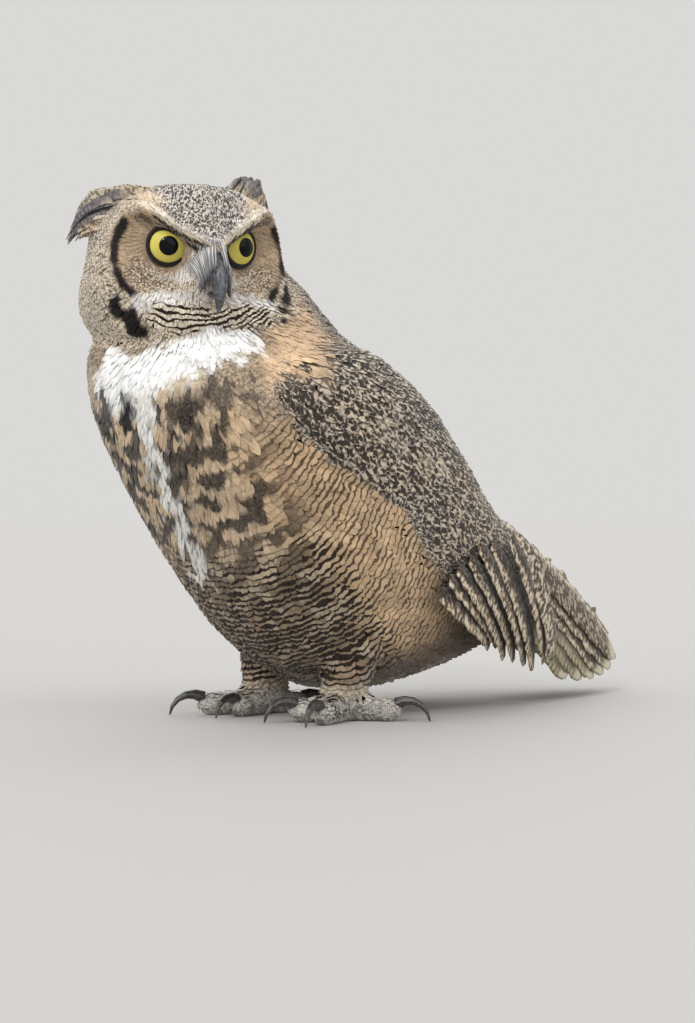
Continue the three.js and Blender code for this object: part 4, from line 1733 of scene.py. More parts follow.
class Coat:
    """Grows contour feathers from roots, lying along the form, and makes them into meshes."""

    ROWS = np.array([0.0, 0.2, 0.42, 0.64, 0.82, 0.94, 1.0])
    ROUND = np.array([0.35, 0.75, 1.0, 1.0, 0.86, 0.56, 0.16])
    SHARP = np.array([0.45, 0.85, 1.0, 0.82, 0.52, 0.24, 0.05])
    PATCH = 0.003
    CAMBER = 0.1

    def __init__(self, form: Form, markings: Markings, skin: Skin) -> None:
        """Reads the sizes of feathers all over the form.

        Args:
            form: the plumage's outer surface.
            markings: the owl's colours.
            skin: the skin under the coat.
        """
        self.form, self.markings, self.skin = form, markings, skin
        self.rng = np.random.default_rng(SEED)
        sizes = [(r.value.length, r.value.width, r.value.lift, r.value.point, r.value.yaw) for r in REGIONS]
        self.sizes = form.surface.spread(np.array(sizes)[form.region], 6)
        self.roots = scatter(form, self.rng)
        log.info("feather roots: %d", len(self.roots))

    def grow(
        self,
        name: str,
        regions: Sequence[Region],
        side: int,
        finish: Material,
        slot: str,
        *nodes: str,
    ) -> None:
        """Makes one piece of the coat.

        Args:
            name: the piece's name.
            regions: the regions whose feathers it takes.
            side: 1 for the owl's left, -1 for its right, 0 for both.
            finish: its material.
            slot: handed on to dress, which does not use it.
            nodes: the nodes that it replaces.
        """
        wanted = np.isin(self.roots.region, [REGIONS.index(r) for r in regions])
        if side:
            wanted &= self.roots.points[:, 0] * side > 0
        dress(self._mesh(name, self.roots.pick(wanted)), finish, slot, *nodes)

    def _mesh(self, name: str, roots: Roots) -> Piece:
        """Walks each feather over the form and closes it into a thin blade.

        Args:
            name: the piece's name.
            roots: where its feathers grow.

        Returns:
            The piece.
        """
        surface, rng, count = self.form.surface, self.rng, len(roots)

        def read(values: Array) -> Array:
            """The form's values at the roots."""
            return surface.read(values, roots.triangle, roots.weights)

        length, width, lift, point, yaw = read(self.sizes).T
        depth = read(self.form.depth)
        length = length * rng.uniform(0.82, 1.15, count)
        half = width / 2 * rng.uniform(0.82, 1.15, count)
        spin = np.radians(yaw) * rng.normal(0, 1, count) + 0.12 * wobble(roots.points, 16, 61)
        normal = unit(read(surface.normals))
        along = unit(read(self.form.lie))
        along = np.cos(spin)[:, None] * along + np.sin(spin)[:, None] * np.cross(normal, along)
        ahead, at = surface.project(roots.points + along * length[:, None])
        turned = (normal * unit(surface.read(surface.normals, at, surface.weights(ahead, at)))).sum(axis=1)
        length = length * (0.35 + 0.65 * smooth(turned, 0.0, 0.8))
        where, triangle, weights = roots.points, roots.triangle, roots.weights
        rows, normals, alongs, places = [], [], [], []
        for k, v in enumerate(self.ROWS):
            if k:
                step = (v - self.ROWS[k - 1]) * length
                where, triangle = surface.project(where + along * step[:, None])
                weights = surface.weights(where, triangle)
                normal = unit(surface.read(surface.normals, triangle, weights))
                ahead = unit(surface.read(self.form.lie, triangle, weights))
                along = unit(mix(along, ahead, np.full(count, 0.3)))
                along = unit(along - (along * normal).sum(axis=1, keepdims=True) * normal)
            rows.append(where)
            normals.append(normal)
            alongs.append(along)
            places.append((triangle, weights))
        steps = np.linalg.norm(np.diff(np.stack(rows, axis=1), axis=1), axis=2)
        flat = (np.abs(steps / (np.diff(self.ROWS) * length[:, None]) - 1) < 0.5).all(axis=1)
        flat &= (normals[0] * normals[-1]).sum(axis=1) > 0.1
        rows, normals, alongs = ([values[flat] for values in each] for each in (rows, normals, alongs))
        places = [(triangle[flat], weights[flat]) for triangle, weights in places]
        depth, lift, point, half, length = (values[flat] for values in (depth, lift, point, half, length))
        roots, count = roots.pick(flat), int(flat.sum())
        jitter = rng.normal(0, 0.2, count)
        twist = rng.normal(0, 0.06, count)
        corners = np.zeros((count, len(self.ROWS), 4, 3))
        facing = np.zeros((count, len(self.ROWS), 4, 3))
        place = self._places(places, np.stack(rows, axis=1))
        paint = self.markings.paint(place)
        for k, v in enumerate(self.ROWS):
            height = -depth * (1 - v) ** 1.25 + (lift + jitter) * v
            across = np.cross(normals[k], alongs[k])
            wide = half * (self.ROUND[k] + (self.SHARP[k] - self.ROUND[k]) * point)
            wide = wide * rng.uniform(0.88, 1.12, count)
            middle = rows[k] + normals[k] * height[:, None]
            tilt = normals[k] * (wide * twist)[:, None]
            drop = normals[k] * (0.12 * wide)[:, None]
            left = middle + across * wide[:, None] + tilt - drop
            right = middle - across * wide[:, None] - tilt - drop
            top = middle + normals[k] * 0.16
            under = middle - normals[k] * 0.16
            corners[:, k] = columns(left, top, right, under)
            tip = normals[k] + alongs[k] * (0.35 * v**3)
            ring = [tip + across * self.CAMBER, tip, tip - across * self.CAMBER, tip]
            facing[:, k] = unit(np.stack(ring, axis=1))
        return self._assemble(name, corners, facing, roots, paint, half, length)

    def _places(self, places: list[tuple[Array, Array]], rows: Array) -> Place:
        """Where the feathers' rows are on the bird.

        Args:
            places: the triangle and the weights of each row of points.
            rows: the points, by feather and row.

        Returns:
            The place of each point.
        """
        triangle = np.stack([p[0] for p in places], axis=1).ravel()
        weights = np.stack([p[1] for p in places], axis=1).reshape(-1, 3)
        source, surface = self.form.place, self.form.surface
        self.flow = surface.read(self.form.flow, triangle, weights)
        parts = (source.t, source.angle, source.head, source.leg, source.wing, source.tail)
        values = (surface.read(part, triangle, weights) for part in parts)
        home = np.repeat(rows[:, 3], rows.shape[1], axis=0)
        return Place(rows.reshape(-1, 3), *values, source.plan, home)

    def _assemble(
        self, name: str, corners: Array, facing: Array, roots: Roots, paint: Paint, half: Array, length: Array
    ) -> Piece:
        """Joins the blades into one mesh with its colours and its baking map.

        Args:
            name: the piece's name.
            corners: the points, by feather, row and place round the blade.
            facing: the direction that each is shaded with.
            roots: where the feathers grow.
            paint: what each row is painted with.
            half: half of each feather's width.
            length: its length.

        Returns:
            The piece.
        """
        count, rows = corners.shape[:2]
        caps = np.array([(3, 2, 1, 0), (4 * rows - 4, 4 * rows - 3, 4 * rows - 2, 4 * rows - 1)])
        faces = np.vstack([np.array(tube_faces(rows, 4)), caps])
        every = (faces[None] + (np.arange(count) * rows * 4)[:, None, None]).reshape(-1, 4)
        piece = self._quads(name, corners.reshape(-1, 3), every)
        # every side is shaded as the coat's surface is, so that no blade shows a black edge
        layer = piece.data.attributes.new("custom_normal", "FLOAT_VECTOR", "CORNER")
        layer.data.foreach_set("vector", facing.reshape(-1, 3)[every].astype(np.float32).ravel())
        flow = np.repeat(self.flow, 4)
        luck = np.repeat(self.rng.uniform(0, 1, count), rows * 4)
        give(piece, "ground", np.repeat(paint.ground, 4, axis=0))
        give(piece, "marks", np.repeat(paint.marks, 4, axis=0))
        give(piece, "lie", columns(flow, luck, 0 * flow))
        v = np.repeat(np.tile(self.ROWS, count), 4)
        u = np.tile([1.0, 0.0, -1.0, 0.0], count * rows)
        half, length = (np.repeat(values, rows * 4) for values in (half, length))
        give(piece, "vane", columns(u * half, v * length, u))
        corner = self.skin.corners[roots.triangle]
        home = (corner * roots.weights[..., None]).sum(axis=1)
        spot = columns(u * 0.5, v - 0.5) * self.PATCH
        uv = np.repeat(home, rows * 4, axis=0) + spot
        layer = piece.data.uv_layers.new(name="OFBake")
        layer.data.foreach_set("uv", uv[every.ravel()].astype(np.float32).ravel())
        return piece

    def _quads(self, name: str, points: Array, quads: Array) -> Piece:
        """A smooth mesh object from many four-cornered faces, made from arrays.

        Args:
            name: the object's name.
            points: its points, in millimetres.
            quads: the four corners of each face.

        Returns:
            The object, linked to the scene.
        """
        mesh = bpy.data.meshes.new(name)
        mesh.vertices.add(len(points))
        mesh.vertices.foreach_set("co", (points * MM).astype(np.float32).ravel())
        mesh.loops.add(quads.size)
        mesh.loops.foreach_set("vertex_index", quads.astype(np.int32).ravel())
        mesh.polygons.add(len(quads))
        mesh.polygons.foreach_set("loop_start", np.arange(0, quads.size, 4, dtype=np.int32))
        mesh.update(calc_edges=True)
        mesh.validate()
        mesh.shade_smooth()
        piece = bpy.data.objects.new(name, mesh)
        bpy.context.scene.collection.objects.link(piece)
        return piece


# ---------------------------------------------------------------- eyes, bill and claws
class Eyes:
    """Two forward-looking eyes, each turned a little outwards, with wet corneas."""

    RADIUS = 14.0
    SPLAY = (-23.0, 12.0)
    PITCH = (-4.0, -9.0)
    RINGS = 60
    SIDES = 72
    BULGE = 1.2

    def __init__(self, head: HeadPlan) -> None:
        """Takes the eyes' places from the head."""
        self.head = head

    @classmethod
    def axes(cls, head: HeadPlan) -> list[Array]:
        """The directions in which the left and right eyes look.

        Args:
            head: the head that they are in.

        Returns:
            A unit direction for each.
        """
        found = []
        for turn, pitch in zip(np.radians(cls.SPLAY), np.radians(cls.PITCH)):
            level = math.cos(pitch)
            local = [level * math.sin(turn), level * math.cos(turn), math.sin(pitch)]
            found.append(np.array(local) @ head.axes)
        return found

    def build(self) -> None:
        """Makes both eyes."""
        finish = Cornea().material()
        for word, middle, axis in zip(("left", "right"), self.head.eyes, self.axes(self.head)):
            piece = self._ball(f"eyeball_{word}", middle, axis)
            dress(piece, finish, "iris", f"eye_{word}")

    def _ball(self, name: str, middle: Array, axis: Array) -> Piece:
        """A ball with a bulging cornea, its points marked with their angle from the axis.

        Args:
            name: the piece's name.
            middle: the ball's middle.
            axis: the direction in which it looks.

        Returns:
            The piece.
        """
        polar = np.linspace(0, math.pi, self.RINGS + 2)[1:-1]
        side = unit(np.cross(axis, UP))
        lift = np.cross(side, axis)
        p, a = (grid.ravel()[:, None] for grid in np.meshgrid(polar, turns(self.SIDES), indexing="ij"))
        ring = side * np.cos(a) + lift * np.sin(a)
        ball = axis * np.cos(p) + ring * np.sin(p)
        ball = np.vstack([axis, ball, -axis])
        degrees = np.degrees(np.concatenate([[0], p.ravel(), [math.pi]]))
        size = self.RADIUS + self.BULGE * bell(degrees, 34)
        faces = closed_faces(self.RINGS, self.SIDES, 1, 0, len(ball) - 1)
        piece = make_mesh(name, middle + ball * size[:, None], faces)
        give(piece, "polar", columns(degrees, 0 * degrees, 0 * degrees))
        return piece


@dataclass(frozen=True)
class Claw:
    """A claw, taken from its solid and made smooth."""

    VOXEL = 0.45
    SWELL = 0.25
    node: str

    def build(self, finish: Material) -> None:
        """Makes the piece.

        Args:
            finish: its material.
        """
        points, faces = remeshed([node_arrays(self.node, self.SWELL)], self.VOXEL)
        piece = make_mesh(f"{self.node}_horn", Surface(points, faces).spread(points, 6), faces)
        dress(piece, finish, "horn", self.node)


class Bill:
    """The hooked bill: a smooth, ridged upper half over a short lower one, in the head's middle."""

    RINGS = 46
    SIDES = 36
    PATH = ((40, -4), (52, -7), (60, -14), (64.5, -24), (63.5, -33), (61, -39))
    HALF_WIDTHS = (6.4, 6.2, 5.8, 4.4, 2.4, 0.5)
    HALF_DEPTHS = (9.0, 9.0, 8.0, 5.6, 3.0, 0.5)
    LOWER_PATH = ((38, -23), (46, -25), (52, -27), (56, -29.5))
    LOWER_WIDTHS = (3.4, 3.0, 2.2, 0.6)
    LOWER_DEPTHS = (3.0, 2.6, 2.0, 0.5)
    RIDGE = 0.55
    NOSTRIL = (5.6, 57.5, -12.5)

    def __init__(self, head: HeadPlan) -> None:
        """Keeps the head that it belongs to."""
        self.head = head

    def build(self, finish: Material) -> None:
        """Makes both halves."""
        self._half("upper", self.PATH, self.HALF_WIDTHS, self.HALF_DEPTHS, finish)
        self._half("lower", self.LOWER_PATH, self.LOWER_WIDTHS, self.LOWER_DEPTHS, finish)

    def _half(
        self, word: str, path: Sequence, widths: Sequence, depths: Sequence, finish: Material
    ) -> None:
        """Makes one half with its ridge, nostrils and cutting edges.

        Args:
            word: which half it is.
            path: the (y, z) of its middle line, in the head's own frame.
            widths: half its width at each of those.
            depths: half its depth at each of those.
            finish: its material.
        """
        t = np.linspace(0, 1, self.RINGS)
        line = catmull_rom(np.array([(0, y, z) for y, z in path], float), t)
        along = unit(np.gradient(line, axis=0))
        out = np.cross(along, [1.0, 0, 0])
        wide = catmull_rom(np.array(widths, float)[:, None], t)[:, 0]
        deep = catmull_rom(np.array(depths, float)[:, None], t)[:, 0]
        cos, sin = np.cos(turns(self.SIDES)), np.sin(turns(self.SIDES))
        narrow = 1 - self.RIDGE * smooth(sin, 0.0, 1.0)
        across = np.sign(cos) * np.abs(cos) ** 0.85 * narrow
        rings = line[:, None] + np.array([1.0, 0, 0]) * (wide[:, None] * across)[..., None]
        rings = rings + out[:, None] * (deep[:, None] * sin)[..., None]
        points = rings.reshape(-1, 3)
        mirror = np.abs(points) * [1, 1, -1]
        pit = np.linalg.norm((mirror - np.array(self.NOSTRIL)) / [1.2, 1.8, 1.1], axis=1)
        points[:, 0] -= np.sign(points[:, 0]) * 1.3 * bell(pit, 1.0)
        count = self.RINGS * self.SIDES
        points = np.vstack([points, line[0], line[-1]])
        faces = closed_faces(self.RINGS, self.SIDES, 0, count, count + 1)
        piece = make_mesh(f"bill_{word}_horn", self.head.world(points), faces)
        dress(piece, finish, "horn", f"bill_{word}")


# ---------------------------------------------------------------- flight and tail feathers
@dataclass(frozen=True)
class Blade:
    """One long feather: where it runs, how wide it is and how it lies among the others."""

    root: Array
    tip: Array
    width: float
    sag: float
    roll: float
    under: float
    rank: int
    last: bool
    tail: bool = False


@dataclass(frozen=True)
class Fan:
    """Feathers fanned from an outermost to an innermost one, between three roots and three tips."""

    count: int
    roots: tuple[tuple[float, float, float], ...]
    tips: tuple[tuple[float, float, float], ...]
    width: float
    sag: float
    roll: tuple[float, float]

    def blades(self, side: int, origin: Array) -> list[Blade]:
        """The feathers of one side, each lying over the one before.

        Args:
            side: 1 for the owl's left, -1 for its right.
            origin: the body plan's origin.

        Returns:
            The feathers.
        """
        spread = np.linspace(0, 1, self.count)
        mirror = np.array([side, 1, 1])
        roots = catmull_rom(np.array(self.roots, float), spread) * mirror + origin
        tips = catmull_rom(np.array(self.tips, float), spread) * mirror + origin
        rolls = side * np.interp(spread, (0, 1), self.roll)
        rng = np.random.default_rng(SEED + self.count)
        roots += rng.normal(0, 1.2, roots.shape)
        tips += rng.normal(0, 1.6, tips.shape)
        return [
            Blade(root, tip, self.width, self.sag, roll, -i, i, i == self.count - 1)
            for i, (root, tip, roll) in enumerate(zip(roots, tips, rolls))
        ]


FLIGHT = Fan(
    8,
    ((90, 40, 82), (84, 72, 106), (70, 126, 118)),
    ((60, 118, 50), (52, 154, 31), (45, 190, 29)),
    24,
    6,
    (84, 88),
)
TERTIALS = Fan(
    5,
    ((69, 104, 116), (57, 112, 125), (40, 120, 130)),
    ((50, 178, 62), (41, 190, 76), (28, 196, 90)),
    24,
    4,
    (74, 46),
)


@dataclass(frozen=True)
class Tail:
    """Twelve feathers, stepped out and under from the middle pair down each slope."""

    root: tuple[float, float, float] = (0, 190, 136)
    tip: tuple[float, float, float] = (0, 330, 36)
    droop: tuple[float, float] = (60, 52)
    spread: tuple[float, float] = (12.6, 7)
    width: float = 36
    sag: float = 4

    def blades(self, origin: Array) -> list[Blade]:
        """The feathers of both sides, the left ones first.

        Args:
            origin: the body plan's origin.

        Returns:
            The feathers.
        """
        root, tip = np.array(self.root, float), np.array(self.tip, float)
        along = unit(tip - root)
        down = np.cross(along, [1.0, 0, 0])
        made = []
        for side, droop, spread in zip((1, -1), self.droop, self.spread):
            angle = math.radians(droop)
            out = np.array([side * math.cos(angle), 0, 0]) + down * math.sin(angle)
            for i in range(6):
                start = root + out * (11 + 6 * i) - along * 3 * i
                end = tip + out * (self.width / 2 - 4 + spread * i) - along * (5 * i + 1.6 * i * i)
                ends = (start + origin, end + origin)
                made.append(Blade(*ends, self.width, self.sag, side * droop, i, i, i == 0, True))
        return made


class Gathered:
    """Closed feathers with one size of grid, gathered into one piece.

    Each has rows from root to tip, and a ring of points round the vane in each row.
    """

    def __init__(self, form: Form, skin: Skin, rows: int, columns: int) -> None:
        """Starts with no feathers.

        Args:
            form: the plumage's outer surface.
            skin: the skin under the coat.
            rows: points along a vane.
            columns: points across it.
        """
        self.form, self.skin = form, skin
        self.rows, self.ring = rows, 2 * columns - 2
        self.points: list[Array] = []
        self.layers: dict[str, list[Array]] = {"ground": [], "marks": [], "lie": [], "vane": []}

    def put(self, points: Array, **layers: Array) -> None:
        """Adds a feather.

        Args:
            points: its points in the frame.
            layers: by name, their values in each layer.
        """
        self.points.append(points)
        for name, values in layers.items():
            self.layers[name].append(values)

    def build(self, name: str, finish: Material, slot: str, *nodes: str) -> None:
        """Makes the piece.

        Args:
            name: its name.
            finish: its material.
            slot: handed on to dress, which does not use it.
            nodes: the nodes that it replaces.
        """
        count = self.rows * self.ring
        faces = []
        for n in range(len(self.points)):
            first, last = n * count, (n + 1) * count - 1
            faces += [face[::-1] for face in tube_faces(self.rows, self.ring, first)]
            faces.append(tuple(range(first, first + self.ring)))
            faces.append(tuple(range(last, last - self.ring, -1)))
        piece = make_mesh(name, np.vstack(self.points), faces)
        for layer, values in self.layers.items():
            give(piece, layer, np.vstack(values))
        self._map(piece, count)
        dress(piece, finish, slot, *nodes)

    def _map(self, piece: Piece, count: int) -> None:
        """Gives each feather a small patch of the baking map, at its root's place on the skin.

        Args:
            piece: the feathers.
            count: how many points a feather has.
        """
        vane = np.vstack(self.layers["vane"])
        points = read_mesh(piece.data)[0]
        where, triangle = self.form.surface.project(points[::count] / MM)
        weights = self.form.surface.weights(where, triangle)
        home = (self.skin.corners[triangle] * weights[..., None]).sum(axis=1)
        length = np.repeat(vane[:, 1].reshape(-1, count).max(axis=1), count)
        spot = columns(vane[:, 2] * 0.5, vane[:, 1] / length - 0.5) * Coat.PATCH
        uv = np.repeat(home, count, axis=0) + spot
        corners = np.zeros(len(piece.data.loops), int)
        piece.data.loops.foreach_get("vertex_index", corners)
        layer = piece.data.uv_layers.new(name="OFBake")
        layer.data.foreach_set("uv", uv[corners].astype(np.float32).ravel())


class LongFeathers:
    """Long closed vanes with a shaft, parted barbs and their own markings."""

    THICK = 0.9
    STEP = 1.5
    CAMBER = 0.7
    ROWS = 34
    COLUMNS = 11
    RAGGED = 0.07
    BREADTH_AT = (0.0, 0.12, 0.45, 0.80, 0.90, 0.96, 1.0)
    BREADTH = (0.35, 0.7, 1.0, 1.0, 0.88, 0.62, 0.2)

    def __init__(self, form: Form, skin: Skin) -> None:
        """Keeps the form that the feathers lie on."""
        self.form, self.skin = form, skin
        self.rng = np.random.default_rng(SEED + 1)

    def build(
        self, name: str, blades: Sequence[Blade], finish: Material, slot: str, *nodes: str
    ) -> None:
        """Makes one piece from several long feathers.

        Args:
            name: its name.
            blades: the feathers.
            finish: its material.
            slot: handed on to dress, which does not use it.
            nodes: the nodes that it replaces.
        """
        sheets = [self._grid(blade) for blade in blades]
        gathered = Gathered(self.form, self.skin, self.ROWS, self.COLUMNS)
        for blade, (top, bottom, u, v) in zip(blades, sheets):
            loop, u, v = (
                np.concatenate([over, under[:, -2:0:-1]], axis=1)
                for over, under in ((top, bottom), (u, u), (v, v))
            )
            u, v = u.ravel(), v.ravel()
            paint = self._paint(blade, u, v)
            along = v * np.linalg.norm(blade.tip - blade.root)
            luck = np.full(len(v), self.rng.uniform(0.3, 0.7))
            gathered.put(
                loop.reshape(-1, 3),
                ground=paint.ground,
                marks=paint.marks,
                lie=columns(along, luck, 0 * v),
                vane=columns(u * blade.width / 2, along, u),
            )
        gathered.build(name, finish, slot, *nodes)

    def _grid(self, blade: Blade) -> tuple[Array, Array, Array, Array]:
        """The shape of one feather.

        Args:
            blade: the feather.

        Returns:
            The points of its upper and lower sheets, and how far across and along each is.
        """
        along = unit(blade.tip - blade.root)
        level = unit(np.cross(UP, along))
        roll = math.radians(blade.roll)
        side = level * math.cos(roll) + np.cross(along, level) * math.sin(roll)
        face = unit(np.cross(along, side))
        v = np.linspace(0, 1, self.ROWS)[:, None] * np.ones((1, self.COLUMNS))
        u = np.linspace(-1, 1, self.COLUMNS)[None, :] * np.ones((self.ROWS, 1))
        breadth = np.interp(v, self.BREADTH_AT, self.BREADTH) * blade.width / 2
        ragged = 1 + self.RAGGED * self.rng.normal(size=v.shape) * (np.abs(u) > 0.7)
        lift = 4 * blade.sag * v * (1 - v) - self.STEP * blade.under - self.CAMBER * u * u
        middle = blade.root + (blade.tip - blade.root) * v[..., None]
        sheet = middle + side * (u * breadth * ragged)[..., None] + face * lift[..., None]
        thick = self.THICK * (1 - np.abs(u)) ** 0.5 * np.minimum(1, 12 * (1 - v)) + 0.12
        top = sheet + face * (thick / 2)[..., None]
        bottom = sheet - face * (thick / 2)[..., None]
        return top, bottom, u, v

    def _paint(self, blade: Blade, u: Array, v: Array) -> Paint:
        """Colours along a long feather: a pale free edge, and dark where the next one covers it, partly its
        own darker web and partly painted shadow.

        Args:
            blade: the feather.
            u: places across it, from -1 to 1.
            v: places along it, from 0 to 1.

        Returns:
            What each place is painted with.
        """
        count = len(u)
        web = u * np.sign(blade.roll)
        step = 0.2 if blade.tail else 0.0
        # where the next feather lies over this one: partly the web's own darker brown, partly painted shadow
        # under its edge
        dark_web_and_shadow = smooth(web, -0.5 - step, -0.2 - step)
        free = 1 - smooth(web, -0.75 - step / 2, -0.45 - step)
        if not blade.tail:
            paint = Paint.plain("#78644f", count, 0.0, 0.9)
            paint.blend(free, "#b5a387", 0.0, 0.9)
            # dark brown under the next feather, partly the web's colour and partly painted shadow; the last
            # has none over it
            paint.blend(dark_web_and_shadow * (not blade.last), "#33291f", 0.0, 0.2)
            paint.blend(smooth(v, 0.93, 0.99), "#8c7d6b", 0.0, 0.6)
            return paint
        paint = Paint.plain("#54442f", count, 0.1, 0.5)
        if blade.rank == 0:
            paint.blend(smooth(web, 0.5, 0.72), "#d0c1a6", 0.0, 0.75)
        elif blade.rank < 3:
            paint.blend(free, "#a3947a", 0.0, 0.8)
            # near black under the next feather: partly the web's colour, partly painted shadow
            paint.blend(dark_web_and_shadow, "#241b14", 0.0, 0.05)
        else:
            # the outer, lower tail feathers are near black towards the root: painted shade of the deep gap
            # between wing and tail
            paint.blend(np.full(count, 1.0), "#241b14", 0.0, 0.05)
            paint.blend(smooth(v, 0.55, 0.72) * (1 - 0.7 * dark_web_and_shadow), "#a09779", 0.35, 0.1)
        paint.blend(smooth(v, 0.91, 0.955), "#c4bda6", 0.0, 0.1)
        return paint


# ---------------------------------------------------------------- plumes of the head
class Plume(Gathered):
    """Lancet feathers of the head, each along a line of its own."""

    ROWS = 12
    COLUMNS = 5
    BREADTH = (0.5, 0.85, 1.0, 0.9, 0.6, 0.05)
    THICK = 0.45

    def __init__(self, form: Form, skin: Skin, seed: int) -> None:
        """Starts a plume of no feathers."""
        super().__init__(form, skin, self.ROWS, self.COLUMNS)
        self.rng = np.random.default_rng(seed)

    def add(self, knots: Array, out: Array, width: float, colours: Sequence[Array], mottle: float) -> None:
        """Adds a feather, in the head's own frame.

        Args:
            knots: the points that its middle line runs through, from root to tip.
            out: the direction that its upper side faces.
            width: its greatest width.
            colours: linear colours, spaced evenly from root to tip.
            mottle: how mottled it is, from 0 to 1.
        """
        v = np.linspace(0, 1, self.ROWS)
        line = catmull_rom(np.asarray(knots, float), v)
        along = unit(np.gradient(line, axis=0))
        across = unit(np.cross(out, along))
        face = np.cross(along, across)
        breadth = np.interp(v, np.linspace(0, 1, 6), self.BREADTH) * width / 2
        u = np.linspace(-1, 1, self.COLUMNS)
        sheet = line[:, None] + across[:, None] * (breadth[:, None] * u)[..., None]
        sheet = sheet - face[:, None] * (0.25 * breadth[:, None] * u**2)[..., None]
        thick = face[:, None] * (self.THICK / 2 * (1 - np.abs(u)) + 0.05)[None, :, None]
        loop = np.concatenate([sheet + thick, (sheet - thick)[:, -2:0:-1]], axis=1)
        around = np.concatenate([u, u[-2:0:-1]])
        stops = np.linspace(0, 1, len(colours))
        ground = np.stack([np.interp(v, stops, channel) for channel in np.array(colours).T], axis=1)
        length = float(np.linalg.norm(np.diff(line, axis=0), axis=1).sum())
        none = np.zeros(self.rows * self.ring)
        wide = (breadth[:, None] * around[None, :]).ravel()
        far = np.repeat(v * length, self.ring)
        self.put(
            self.form.head.world(loop.reshape(-1, 3)),
            ground=np.repeat(ground, self.ring, axis=0),
            marks=columns(none, none + mottle, none),
            lie=columns(none, none + self.rng.uniform(), none),
            vane=columns(wide, far, np.tile(around, self.rows)),
        )


@dataclass(frozen=True)
class EarTuft:
    """The plume over one ear, cream or mottled buff, with slate along part of it."""

    word: str
    side: int
    path: tuple[tuple[float, float, float], ...]
    tall: float
    deep: float
    slate_levels: tuple[float, float]
    slate_from: float
    feathers: int = 120
    cream: str = "#dccbb0"
    slate: str = "#5d5a60"
    buff: str = "#c3ae8e"

    def build(self, form: Form, skin: Skin, finish: Material) -> None:
        """Makes the plume, each feather rooted in the head's coat.

        Args:
            form: the plumage's outer surface.
            skin: the skin under it.
            finish: the plume's material.
        """
        plume = Plume(form, skin, SEED + 5 + self.side)
        rng = plume.rng
        path = np.array(self.path, float) * [-self.side, 1, 1]
        cream, slate, buff = (linear(c) for c in (self.cream, self.slate, self.buff))
        v = np.linspace(0, 1, 5)
        for _ in range(self.feathers):
            level, layer = rng.uniform(-1, 1, 2)
            start = rng.uniform(0.0, 0.5)
            end = min(max(1.0 - 0.3 * abs(level) ** 1.3 - rng.uniform(0, 0.25), start + 0.35), 1.0)
            line = catmull_rom(path, start + (end - start) * v)
            along = unit(line[-1] - line[0])
            flat = unit(np.cross(along, UP))
            spread = (1 - 0.5 * v)[:, None]
            line = line + np.cross(flat, along) * (self.tall * level * spread)
            line = line + flat * (self.deep * layer * spread)
            root = form.surface.project(form.head.world(line[:1]))[0]
            line[0] = form.head.local(root)[0] * 0.96
            low, high = self.slate_levels
            share = float(smooth(level, low - 0.15, low + 0.1) * (1 - smooth(level, high, high + 0.3)))
            base = (buff if level < low else cream) * rng.uniform(0.75, 1.1)
            share_at = share * smooth(v, self.slate_from - 0.15, self.slate_from + 0.2)
            colours = [base + (slate * rng.uniform(0.8, 1.3) - base) * k for k in share_at]
            colours[-1] = 0.4 * colours[-1] + 0.6 * slate
            out = flat + 0.35 * rng.normal(size=3)
            plume.add(line, out, rng.uniform(3.5, 7), colours, 0.8 * (1 - 0.7 * share))
        plume.build(f"ear_tuft_{self.word}_feathers", finish, "tuft_plumage", f"ear_tuft_{self.word}")


EAR_TUFTS = (
    EarTuft(
        "right",
        -1,
        ((24, 24, 24), (37, 12, 29), (49, -2, 29), (60, -17, 23), (68, -30, 9)),
        15,
        7,
        (-0.45, 0.6),
        0.15,
    ),
    EarTuft(
        "left",
        1,
        ((24, 22, 27), (33, 12, 38), (43, 0, 43), (54, -13, 40), (63, -25, 27)),
        11,
        8,
        (-0.1, 1.2),
        0.1,
    ),
)


